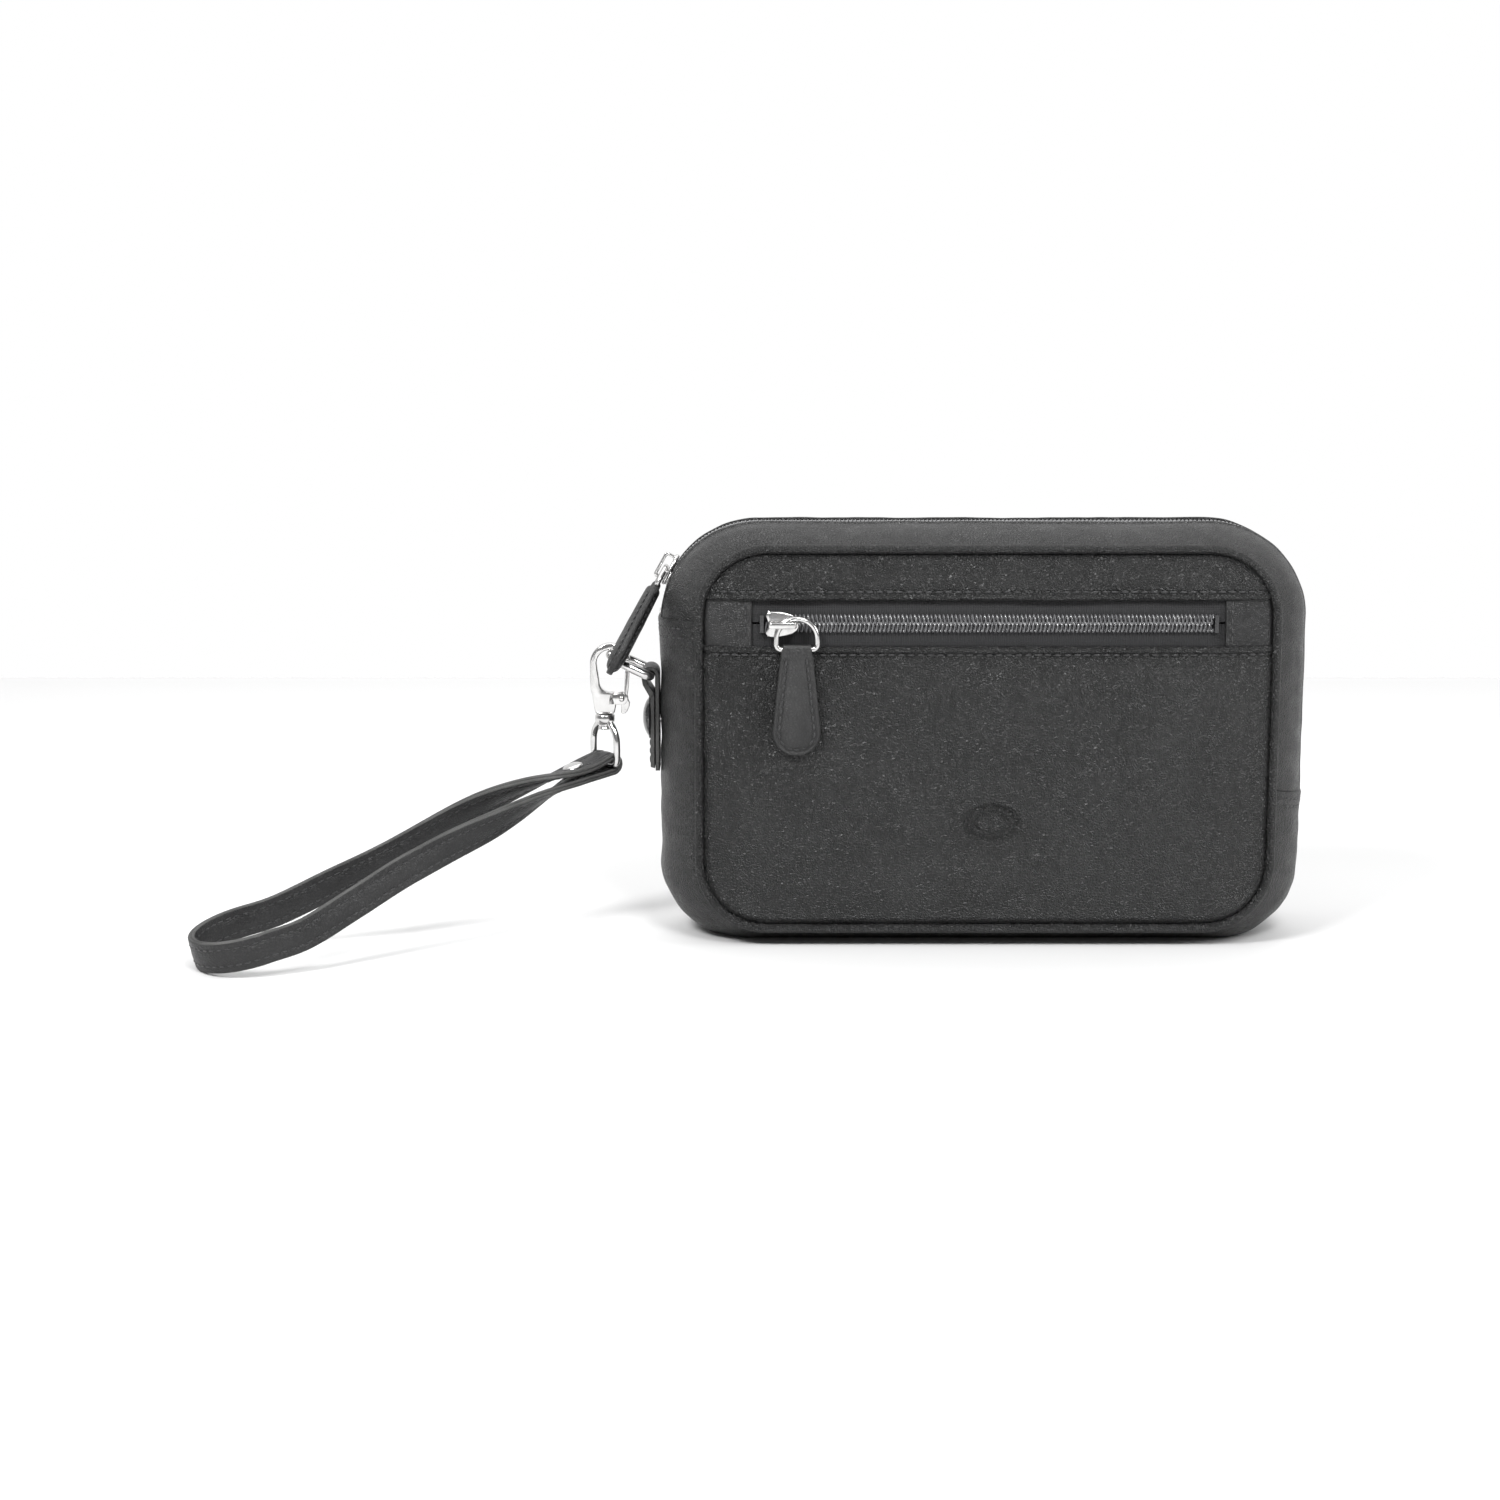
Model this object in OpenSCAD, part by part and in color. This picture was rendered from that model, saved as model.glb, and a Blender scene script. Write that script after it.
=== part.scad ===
// Soft leather make-up bag with a zipped front pocket, a zipped top and a clip-on wrist strap.
// Millimetres. The origin is the middle of the base, +X is the long side, the front faces -Y.

/* [Bag outline] */
// Half width of the front and back panels, seam to middle
panel_half_w = 92; // [80:1:110]
// Height of the bottom seam above the base
seam_low = 6; // [4:0.5:9]
// Height of the top seam above the base
seam_high = 129; // [110:1:150]
// Corner radius of the panel seams
seam_r = 22; // [14:1:30]
// Distance from the middle plane to each panel seam
seam_depth = 27; // [20:1:36]
// Half width of the bag at its middle plane
mid_half_w = 105; // [94:1:125]
// Height of the bag at its middle plane
mid_high = 136; // [116:1:158]
// Radius of the upper corners at the middle plane
mid_top_r = 32; // [24:1:40]
// How far the front and back panels bulge
crown = 4; // [1:0.5:6]

/* [Materials] */
// Thickness of the shell leather
leather_t = 1.4; // [1:0.1:1.6]
// Thickness of the lining cloth
lining_t = 0.5; // [0.4:0.1:0.6]
// Thickness of the zip tape
tape_t = 0.5; // [0.4:0.1:0.6]
// Thickness of the stiffener boards
board_t = 0.8; // [0.6:0.1:0.8]
// Radius of the piping
piping_r = 1.5; // [1:0.1:1.6]

/* [Front pocket] */
// Lower edge of the pocket zip window
window_low = 98.5; // [94:0.5:100]
// Upper edge of the pocket zip window
window_high = 113; // [111:0.5:115]
// Half length of the pocket zip window
window_half = 75; // [60:1:78]
// Depth of the pocket pouch at its middle
pouch_puff = 5.5; // [5:0.5:6]

/* [Zips] */
// Half of the gap between the two coils
coil_gap = 0.5; // [0.4:0.05:0.6]
// Distance from the zip's middle line to the outer edge of a coil
coil_edge = 2.9; // [2.6:0.1:3.1]
// Half width of the window over the main zip
zip_half = 5.5; // [5:0.1:6]
// Rest angle of the main slider on the corner arc, from horizontal
slider_angle = 29; // [24:1:60]
// Rest position of the pocket slider
pocket_slider_x = -65.5; // [-66:0.5:60]
// Turn of the main pull in its own plane
main_pull_turn = 38; // [36:1:46]

/* [Wrist strap] */
// Width of the strap
strap_w = 10; // [8:0.5:10]
// Thickness of the strap
strap_t = 2.4; // [2:0.1:2.4]
// Rise of the side ring above horizontal
ring_rise = 25; // [15:1:30]

/* [Hidden] */
$fn = 48;
eps = 0.01;

leather_col = [0.07, 0.07, 0.075];
lining_col = [0.16, 0.15, 0.15];
cloth_col = [0.05, 0.05, 0.05];
coil_col = [0.25, 0.25, 0.26];
board_col = [0.45, 0.38, 0.30];
metal_col = [0.80, 0.80, 0.82];

// Outlines in the XZ plane
seam_cx = panel_half_w - seam_r;
seam_top_cz = seam_high - seam_r;
seam_low_cz = seam_low + seam_r;
mid_cx = mid_half_w - mid_top_r;
mid_cz = mid_high - mid_top_r;
mid_low_r = 26;
base_dip = 2;
mid_low_cx = mid_half_w - mid_low_r;
mid_low_cz = mid_low_r - base_dip;
gusset_power = 2.4;
side_pad = 1.7;
gusset_edge = seam_depth - side_pad;

// Layers behind the shell leather, measured inwards from the outer surface
tape_off = leather_t + 0.35;
coil_off = 0.25;
gusset_lining_off = 2.6;
face_y = seam_depth + 0.7;
pouch_front_off = leather_t + 0.4;
pouch_back_off = 2.6;
front_board_off = 8.7;
front_lining_off = 9.9;
back_board_off = leather_t + 0.45;
back_lining_off = 3.6;
lining_front_y = -17;
lining_back_y = 23.3;

// Heights and positions of the seams and cuts
left_end_z = 103.7;
right_end_z = 52;
end_gap = 0.3;
lip_half = 69.5;
corner_start = lip_half + end_gap;
stop_angle = 3;
coil_end_z = 57;

// Pocket zip
zip_z = (window_low + window_high) / 2;
zip_face = -face_y - crown * rise_z(zip_z);
pocket_coil_half = 71.2;

// Slider sizes
plate_t = 1.2;
under_t = 0.9;
slider_half_w = 4;
slider_half_l = 5.3;
bridge_w = 1.6;
bridge_t = 1.1;
bridge_hole = 3.4;
web_half = 0.2;
ring_wire = 0.85;
ring_seat = 0.35;
ring_play = 0.45;
ring_r = 6.5;
ring_drop = 3.2;
ring_corner = 1.5;
pocket_cross = 135;

// Pulls
pull_len = 34;
pull_top = 4.65;
pull_wide = 7.75;
pull_half_t = 1.4;
pull_round = 6.5;

// Side tab and ring
tab_x = -105.3;
tab_w = 12.5;
tab_low = 54;
bar_r = 1.5;
bar_play = 0.1;
bar_x = tab_x - bar_r - bar_play - leather_t;
bar_z = 85.5;
d_r = 8.5;
d_drop = 6.1;
d_corner = 2.2;
stud_z = 71;
tab_steps = 24;
tip_x = bar_x - (d_drop + d_r) * cos(ring_rise);
tip_z = bar_z + (d_drop + d_r) * sin(ring_rise);

// Hook, measured from the ring's tip
hook_half_t = 1.6;
hook_gap = 0.15;
hook_wall = 2.2;
eye_hole_r = 4.45;
hook_arc_z = tip_z + bar_r + hook_gap - eye_hole_r;
hook_floor = hook_arc_z - 9.7;
hook_base = hook_floor - 6.9;
neck_x = tip_x - 1.9;
post_r = 1.5;
lever_x = tip_x + 3.7;
lever_z = hook_floor - 2;
pin_r = 0.8;

// Swivel eye and strap
bar_low_z = hook_base - 16.6;
eye_yaw = -51;
eye_wire = 1.1;
eye_half = 6.5;
hub_low = hook_base - 3;
hub_high = hook_base - end_gap;
wrap_r = eye_wire + 0.15 + strap_t / 2;
turn_r = 18;

// Middle line of the strap loop, from the swivel bar to the middle of its far turn
route = [
    [neck_x, 0, bar_low_z], [-133, -7.6, 53], [-149, -15, 47.2], [-168, -22.5, 38.7],
    [-187, -30.5, 29.3], [-206, -39, 20], [-221, -45.7, 12.7], [-233, -51, 9.5]];
// Half distance between the two strands at each of those points
spread = [wrap_r, strap_t / 2 + 0.45, 3.4, 7, 10.5, 14.3, 17.3, turn_r];
// Turn of the pair of strands about that line at each of those points
twist = [0, 0, 40, 76, 90, 90, 90, 90];

function lerp(a, b, f) = a + (b - a) * f;
function unit(v) = v / norm(v);
function rise_x(x) = 1 - pow(min(1, abs(x) / panel_half_w), 10);
function rise_z(z) = 1 - pow(min(1, abs(z - (seam_low + seam_high) / 2) * 2 / (seam_high - seam_low)), 3);
function rise(x, z) = rise_x(x) * rise_z(z);
function puff(x, z) = (1 - pow(min(1, abs(x) / 86), 6)) * (1 - pow(min(1, abs(z - 66) / 56), 6));

// Half width of the panel outline, pulled in by an inset, at height z
function half_at(z, inset) =
    let (r = seam_r - inset,
         dz = max(0, z - seam_top_cz, seam_low_cz - z))
    seam_cx + sqrt(max(0, r * r - dz * dz));

// Rows of points on a bulged face: side is -1 for the front and 1 for the back
function face_grid(side, inset, z0, z1, x0, x1, nx, nz, off, pouch = 0) =
    [for (i = [0:nz])
        let (z = lerp(z0, z1, (1 - cos(180 * i / nz)) / 2),
             xa = max(x0, -half_at(z, inset)),
             xb = min(x1, half_at(z, inset)))
        [for (j = [0:nx])
            let (x = lerp(xa, xb, j / nx))
            [x, side * (face_y + crown * rise(x, z) - off - pouch * puff(x, z)), z]]];

// Stations round the gusset: centre and direction on the seam outline and on the middle outline
function st_side(s, z) = [[s * seam_cx, z], [s * mid_cx, z], [s, 0], [s, 0], seam_r, mid_top_r];
function st_bottom(x) = [[x, seam_low_cz], [x, mid_low_cz], [0, -1], [0, -1], seam_r, mid_low_r];
function st_top(x) = [[x, seam_top_cz], [x, mid_cz], [0, 1], [0, 1], seam_r, mid_top_r];
function st_high(s, f) =
    let (a = 90 * f, b = lerp(5, 90, f))
    [[s * seam_cx, seam_top_cz], [s * mid_cx, mid_cz], [s * cos(a), sin(a)], [s * cos(b), sin(b)],
     seam_r, mid_top_r];
function st_low(s, f) =
    let (d = [s * cos(90 * f), -sin(90 * f)])
    [[s * seam_cx, seam_low_cz], [s * mid_low_cx, mid_low_cz], d, d, seam_r, mid_low_r];
function bulge(y) = 1 - pow(min(1, abs(y) / seam_depth), gusset_power);
function gusset_point(st, y, off) =
    let (p = lerp(st[0] + st[2] * (st[4] - off), st[1] + st[3] * (st[5] - off), bulge(y)))
    [p[0], y, max(p[1], off)];
function strip_grid(stations, y0, y1, ny, off) =
    [for (st = stations) [for (j = [0:ny]) gusset_point(st, lerp(y0, y1, j / ny), off)]];

corner_steps = 9;
function corner_high(s) = [for (k = [0:corner_steps]) st_high(s, k / corner_steps)];
function corner_low(s) = [for (k = [0:corner_steps]) st_low(s, k / corner_steps)];
low_left = corner_low(-1);
low_right = [for (k = [corner_steps:-1:0]) st_low(1, k / corner_steps)];
floor_stations = [for (x = [-66, -33, 0, 33, 66]) st_bottom(x)];
under_stations = concat(
    [for (z = [left_end_z, 90, 70, 50, 30]) st_side(-1, z)], low_left, floor_stations, low_right,
    [st_side(1, 30), st_side(1, right_end_z)]);
left_stations = concat([st_side(-1, left_end_z + end_gap)], corner_high(-1), [st_top(-corner_start)]);
right_stations = concat(
    [for (z = [right_end_z + end_gap, 70, 90, mid_cz]) st_side(1, z)], corner_high(1),
    [st_top(corner_start)]);

// A closed solid between two grids of points
module slab(a, b) {
    m = len(a);
    n = len(a[0]);
    ahead = cross(a[0][1] - a[0][0], a[1][0] - a[0][0]) * (b[0][0] - a[0][0]) > 0;
    function at(s, i, j) = s * m * n + i * n + j;
    quads = concat(
        [for (i = [0:m - 2], j = [0:n - 2]) [at(0, i, j), at(0, i, j + 1), at(0, i + 1, j + 1), at(0, i + 1, j)]],
        [for (i = [0:m - 2], j = [0:n - 2]) [at(1, i, j), at(1, i + 1, j), at(1, i + 1, j + 1), at(1, i, j + 1)]],
        [for (j = [0:n - 2]) [at(0, 0, j + 1), at(0, 0, j), at(1, 0, j), at(1, 0, j + 1)]],
        [for (j = [0:n - 2]) [at(0, m - 1, j), at(0, m - 1, j + 1), at(1, m - 1, j + 1), at(1, m - 1, j)]],
        [for (i = [0:m - 2]) [at(0, i, 0), at(0, i + 1, 0), at(1, i + 1, 0), at(1, i, 0)]],
        [for (i = [0:m - 2]) [at(0, i + 1, n - 1), at(0, i, n - 1), at(1, i, n - 1), at(1, i + 1, n - 1)]]);
    tris = [for (q = quads) each [[q[0], q[1], q[2]], [q[0], q[2], q[3]]]];
    polyhedron(
        points = concat([for (row = a) each row], [for (row = b) each row]),
        faces = ahead ? tris : [for (t = tris) [t[2], t[1], t[0]]]);
}

// A sheet of the given thickness that follows a bulged face
module face_sheet(side, inset, z0, z1, x0, x1, nx, nz, off, t, pouch = 0) {
    slab(face_grid(side, inset, z0, z1, x0, x1, nx, nz, off, pouch),
         face_grid(side, inset, z0, z1, x0, x1, nx, nz, off + t, pouch));
}

// A strip of the gusset between two depths
module gusset_strip(stations, y0, y1, ny, off, t) {
    slab(strip_grid(stations, y0, y1, ny, off), strip_grid(stations, y0, y1, ny, off + t));
}

// A round bar between two points
module rod(p, q, r) {
    v = q - p;
    translate(p)
        rotate([0, acos(v[2] / norm(v)), atan2(v[1], v[0])])
            cylinder(h = norm(v), r = r);
}

// Part of a ring of round wire in the XZ plane, angles from +X towards +Z
module arc_wire(r, wire, a0, a1) {
    rotate([90, 0, 0])
        rotate([0, 0, a0])
            rotate_extrude(angle = a1 - a0)
                translate([r, 0])
                    circle(r = wire);
}

// A closed D of round wire in the XZ plane, its straight bar below the centre
module d_wire(r, drop, corner, wire) {
    arc_wire(r, wire, 0, 180);
    for (s = [-1, 1]) {
        translate([s * r, 0, corner - drop])
            cylinder(h = drop - corner, r = wire);
        translate([s * (r - corner), 0, corner - drop])
            mirror([s < 0 ? 1 : 0, 0, 0])
                arc_wire(corner, wire, 270, 360);
    }
    rod([corner - r, 0, -drop], [r - corner, 0, -drop], wire);
}

// A section swept about the middle plane's corner centre; angles run from the side up to the top
module corner_sweep(s, a0, a1) {
    translate([s * mid_cx, 0, mid_cz])
        mirror([s < 0 ? 1 : 0, 0, 0])
            rotate([90, 0, 0])
                rotate([0, 0, a0])
                    rotate_extrude(angle = a1 - a0)
                        children();
}

// ---------------------------------------------------------------- leather shell
module back_panel() {
    color(leather_col)
        face_sheet(1, side_pad, seam_low + side_pad, seam_high - side_pad, -200, 200, 18, 18, 0, leather_t);
}

module front_upper_panel() {
    color(leather_col)
        face_sheet(-1, side_pad, window_high, seam_high - side_pad, -200, 200, 18, 6, 0, leather_t);
}

module front_pocket_panel() {
    color(leather_col)
        face_sheet(-1, side_pad, seam_low + side_pad, window_low, -200, 200, 18, 14, 0, leather_t);
}

module zip_end_patch(s) {
    color(leather_col)
        face_sheet(-1, side_pad, window_low + 0.2, window_high - 0.2, s < 0 ? -200 : window_half,
                   s < 0 ? -window_half : 200, 3, 3, 0.6, 0.9);
}

module zip_end_patch_left() {
    zip_end_patch(-1);
}

module zip_end_patch_right() {
    zip_end_patch(1);
}

module bottom_gusset() {
    color(leather_col)
        difference() {
            gusset_strip(under_stations, -gusset_edge, gusset_edge, 12, 0, leather_t);
            translate([tab_x - 1, 0, stud_z])
                rotate([0, 90, 0])
                    cylinder(h = 4, r = 2.1);
        }
}

module corner_strip(stations, s) {
    color(leather_col)
        gusset_strip(stations, s * gusset_edge, s * zip_half, 6, 0, leather_t);
}

module corner_strip_front_left() {
    corner_strip(left_stations, -1);
}

module corner_strip_front_right() {
    corner_strip(right_stations, -1);
}

module corner_strip_back_left() {
    corner_strip(left_stations, 1);
}

module corner_strip_back_right() {
    corner_strip(right_stations, 1);
}

module piping(side) {
    span_z = seam_top_cz - seam_low_cz;
    color(leather_col)
        translate([0, side * seam_depth, 0]) {
            for (s = [-1, 1]) {
                translate([s * panel_half_w, 0, seam_low_cz])
                    cylinder(h = span_z, r = piping_r);
                translate([s * seam_cx, 0, seam_top_cz])
                    mirror([s < 0 ? 1 : 0, 0, 0])
                        arc_wire(seam_r, piping_r, 0, 90);
                translate([s * seam_cx, 0, seam_low_cz])
                    mirror([s < 0 ? 1 : 0, 0, 0])
                        arc_wire(seam_r, piping_r, 270, 360);
            }
            for (z = [seam_low, seam_high])
                translate([-seam_cx, 0, z])
                    rotate([0, 90, 0])
                        cylinder(h = 2 * seam_cx, r = piping_r);
        }
}

module piping_front() {
    piping(-1);
}

module piping_back() {
    piping(1);
}

// ---------------------------------------------------------------- boards and lining
module front_board() {
    color(board_col)
        face_sheet(-1, 5, 12, 122, -200, 200, 14, 14, front_board_off, board_t);
}

module back_board() {
    color(board_col)
        face_sheet(1, 5, 12, 122, -200, 200, 18, 18, back_board_off, board_t);
}

module base_board() {
    color(board_col)
        translate([-74, -13, leather_t + 0.2])
            cube([148, 26, board_t]);
}

module lining_front() {
    color(lining_col)
        face_sheet(-1, -3, 6.5, 125.5, -200, 200, 14, 14, front_lining_off, lining_t);
}

module lining_back() {
    color(lining_col)
        face_sheet(1, 0, 6.5, 125.5, -200, 200, 14, 14, back_lining_off, lining_t);
}

module lining_gusset() {
    color(lining_col)
        gusset_strip(under_stations, lining_front_y, lining_back_y, 8, gusset_lining_off, lining_t);
}

module lining_corner(stations) {
    color(lining_col) {
        gusset_strip(stations, lining_front_y, -9, 2, gusset_lining_off, lining_t);
        gusset_strip(stations, 9, lining_back_y, 3, gusset_lining_off, lining_t);
    }
}

module lining_corner_left() {
    lining_corner(left_stations);
}

module lining_corner_right() {
    lining_corner(right_stations);
}

module pocket_pouch() {
    color(lining_col) {
        face_sheet(-1, 5.5, 12, 93.4, -200, 200, 10, 8, pouch_front_off, 0.4);
        face_sheet(-1, 5.5, 117.6, 121.5, -200, 200, 10, 2, pouch_front_off, 0.4);
        face_sheet(-1, 5.5, 12, 121.5, -200, 200, 14, 12, pouch_back_off, 0.4, pouch_puff);
    }
}

// ---------------------------------------------------------------- pocket zip
module pocket_tape(s) {
    z0 = s > 0 ? zip_z + coil_gap : 94;
    z1 = s > 0 ? 117 : zip_z - coil_gap;
    color(cloth_col)
        face_sheet(-1, 3, z0, z1, -79, 79, 20, 2, leather_t + 0.15, tape_t);
}

module pocket_tape_upper() {
    pocket_tape(1);
}

module pocket_tape_lower() {
    pocket_tape(-1);
}

module pocket_coil(s) {
    z0 = s > 0 ? zip_z + coil_gap : zip_z - coil_edge;
    color(coil_col)
        face_sheet(-1, 3, z0, z0 + coil_edge - coil_gap, -pocket_coil_half, pocket_coil_half, 20, 1, 0.1, 1.4);
}

module pocket_coil_upper() {
    pocket_coil(1);
}

module pocket_coil_lower() {
    pocket_coil(-1);
}

module pocket_zip_stops() {
    color(metal_col)
        for (s = [-1, 1])
            translate([s * (pocket_coil_half + 0.8), zip_face + 0.4, zip_z])
                cube([1.2, 2, 5.6], center = true);
}

// ---------------------------------------------------------------- main zip, fixed ends
module corner_tape(stations) {
    color(cloth_col)
        for (s = [-1, 1])
            gusset_strip(stations, s * 10, s * (coil_gap - 0.05), 3, tape_off, tape_t);
}

module corner_tape_left() {
    corner_tape(left_stations);
}

module corner_tape_right() {
    corner_tape(right_stations);
}

// The coil lies on the tape, so it takes the same stations
module corner_coil(stations) {
    for (side = [-1, 1])
        gusset_strip(stations, side > 0 ? coil_gap : -coil_edge, side > 0 ? coil_edge : -coil_gap, 1, coil_off,
            tape_off - coil_off - 0.05);
}

module corner_coil_left() {
    color(coil_col)
        corner_coil([for (k = [2:corner_steps + 2]) left_stations[k]]);
}

module corner_coil_right() {
    color(coil_col)
        corner_coil(concat(
            [for (z = [coil_end_z, 70, 90, mid_cz]) st_side(1, z)], corner_high(1), [st_top(corner_start)]));
}

module main_zip_stops() {
    color(metal_col) {
        corner_sweep(-1, stop_angle, stop_angle + 2)
            translate([mid_top_r - tape_off + 0.05, -coil_edge])
                square([tape_off + 0.3, 2 * coil_edge]);
        translate([mid_half_w - tape_off + 0.05, -coil_edge, coil_end_z - 1.5])
            cube([tape_off + 0.3, 2 * coil_edge, 1.3]);
    }
}

// ---------------------------------------------------------------- lips of the mouth
// Cross-section of one layer of the top between two depths
module lip_layer(s, y0, y1, off, t) {
    n = 8;
    function top(y, d) = gusset_point(st_top(0), y, d)[2];
    upper = [for (j = [0:n]) let (y = lerp(y0, y1, j / n)) [s * y, top(y, off)]];
    lower = [for (j = [n:-1:0]) let (y = lerp(y0, y1, j / n)) [s * y, top(y, off + t)]];
    translate([-lip_half, 0, 0])
        rotate([90, 0, 90])
            linear_extrude(2 * lip_half)
                polygon(concat(upper, lower));
}

module lip_strip(s) {
    color(leather_col)
        lip_layer(s, zip_half, gusset_edge, 0, leather_t);
}

module lip_tape(s) {
    color(cloth_col)
        lip_layer(s, coil_gap - 0.05, 10, tape_off, tape_t);
}

module lip_coil(s) {
    color(coil_col)
        translate([-lip_half, s > 0 ? coil_gap : -coil_edge, mid_high - tape_off + 0.05])
            cube([2 * lip_half, coil_edge - coil_gap, tape_off - coil_off - 0.05]);
}

module lip_lining(s) {
    color(lining_col)
        lip_layer(s, 9, 22, gusset_lining_off, lining_t);
}

module top_strip_front() {
    lip_strip(-1);
}

module top_tape_front() {
    lip_tape(-1);
}

module top_coil_front() {
    lip_coil(-1);
}

module lining_lip_front() {
    lip_lining(-1);
}

module top_strip_back() {
    lip_strip(1);
}

module top_tape_back() {
    lip_tape(1);
}

module top_coil_back() {
    lip_coil(1);
}

module lining_lip_back() {
    lip_lining(1);
}

// ---------------------------------------------------------------- sliders, rings and pulls
// Bridge of a slider in the XY plane: X along the zip, Y away from the bag, from the plate's face
module bridge_profile() {
    rise_in = ring_seat + 2 * ring_wire + ring_play;
    out_l = bridge_hole + bridge_t;
    difference() {
        union() {
            translate([-out_l, -plate_t / 2])
                square([2 * out_l, plate_t / 2 + rise_in]);
            translate([bridge_t - out_l, 0])
                square([2 * bridge_hole, rise_in + bridge_t]);
            for (s = [-1, 1])
                translate([s * bridge_hole, rise_in])
                    circle(r = bridge_t);
        }
        translate([-bridge_hole, 0])
            square([2 * bridge_hole, rise_in]);
    }
}

// Plate outline: wide shoulders, narrower closed end
module plate_profile(half_w) {
    nose = half_w * 0.72;
    translate([0, -half_w])
        square([slider_half_l, 2 * half_w]);
    translate([nose - slider_half_l, -nose])
        square([slider_half_l, 2 * nose]);
    translate([nose - slider_half_l, 0])
        circle(r = nose);
}

// The pocket slider, seen from the front: local Y points into the bag
module pocket_slider() {
    outer = zip_face - 0.25;
    under = zip_face + 2.75;
    color(metal_col)
        translate([pocket_slider_x, 0, zip_z]) {
            translate([0, outer, 0])
                rotate([90, 0, 0])
                    linear_extrude(plate_t)
                        plate_profile(slider_half_w);
            translate([0, under + under_t, 0])
                rotate([90, 0, 0])
                    linear_extrude(under_t)
                        plate_profile(slider_half_w - 0.4);
            translate([-1, outer - eps, -web_half])
                cube([4, under - outer + 2 * eps, 2 * web_half]);
            for (s = [-1, 1])
                translate([0, outer - eps, s * (slider_half_w - 0.4) - 0.4])
                    cube([slider_half_l, 1.1, 0.8]);
            translate([0, outer - plate_t, -bridge_w / 2])
                mirror([0, 1, 0])
                    linear_extrude(bridge_w)
                        bridge_profile();
        }
}

// Centre of the pocket ring, whose wire passes under the bridge
pocket_ring_y = zip_face - 0.25 - plate_t - ring_seat - ring_wire;
pocket_ring_x = pocket_slider_x - ring_r * cos(pocket_cross);
pocket_ring_z = zip_z - ring_r * sin(pocket_cross);

module pocket_pull_ring() {
    color(metal_col)
        translate([pocket_ring_x, pocket_ring_y, pocket_ring_z])
            d_wire(ring_r, ring_drop, ring_corner, ring_wire);
}

// Half width of a pull at a distance below its ring bar
function pull_half(d) = lerp(pull_top, pull_wide, pow(d / pull_len, 0.9));

// A padded leather pull hanging from its ring bar, which lies along X at the origin
module pull_body() {
    steps = 12;
    tail = pull_len - pull_round;
    right = [for (k = [0:steps]) let (d = tail * k / steps) [pull_half(d), -d]];
    shoulder = pull_half(tail) - pull_round;
    bend = [for (k = [1:steps]) let (a = 90 * k / steps) [shoulder + pull_round * cos(a), -tail - pull_round * sin(a)]];
    half = concat(right, bend);
    other = [for (k = [len(half) - 1:-1:0]) [-half[k][0], half[k][1]]];
    difference() {
        union() {
            translate([0, pull_half_t, 0])
                rotate([90, 0, 0])
                    linear_extrude(2 * pull_half_t)
                        polygon(concat(half, other));
            translate([-pull_top, 0, 0])
                rotate([0, 90, 0])
                    cylinder(h = 2 * pull_top, r = pull_half_t);
        }
        translate([-pull_wide, 0, 0])
            rotate([0, 90, 0])
                cylinder(h = 2 * pull_wide, r = ring_wire + 0.06);
    }
}

module pocket_pull() {
    color(leather_col)
        translate([pocket_ring_x, pocket_ring_y, pocket_ring_z - ring_drop])
            pull_body();
}

// Frame of the main slider: local -X points out of the bag and Z runs along the zip
module main_frame() {
    translate([-mid_cx, 0, mid_cz])
        rotate([0, slider_angle, 0])
            children();
}

module main_slider() {
    half_a = 9.5;
    outer_r = mid_top_r + 0.05;
    color(metal_col) {
        corner_sweep(-1, slider_angle - half_a, slider_angle + half_a)
            translate([outer_r, -slider_half_w])
                square([plate_t, 2 * slider_half_w]);
        corner_sweep(-1, slider_angle - half_a, slider_angle + half_a)
            translate([mid_top_r - tape_off - tape_t - 0.25 - under_t, 0.4 - slider_half_w])
                square([under_t, 2 * slider_half_w - 0.8]);
        corner_sweep(-1, slider_angle - 2, slider_angle + 5)
            translate([mid_top_r - tape_off - tape_t - 0.25 - eps, -web_half])
                square([tape_off + tape_t + 0.35 + 2 * eps, 2 * web_half]);
        for (s = [-1, 1])
            corner_sweep(-1, slider_angle, slider_angle + half_a)
                translate([outer_r - 1.1, s * (slider_half_w - 0.4) - 0.4])
                    square([1.1 + eps, 0.8]);
        main_frame()
            translate([-outer_r - plate_t + 0.1, bridge_w / 2, 0])
                rotate([90, 0, 0])
                    rotate([0, 0, 90])
                        linear_extrude(bridge_w)
                            bridge_profile();
    }
}

// Frame of the main ring: local X is its bar's direction, Z points back to the slider
main_ring_r = mid_top_r + 0.05 + plate_t + ring_seat + ring_wire - 0.1;

module main_ring_frame() {
    main_frame()
        translate([-main_ring_r, 0, -ring_r])
            rotate([0, 0, 90])
                rotate([0, main_pull_turn, 0])
                    children();
}

module main_pull_ring() {
    color(metal_col)
        main_ring_frame()
            d_wire(ring_r, ring_drop, ring_corner, ring_wire);
}

module main_pull() {
    color(leather_col)
        main_ring_frame()
            translate([0, 0, -ring_drop])
                pull_body();
}

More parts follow.
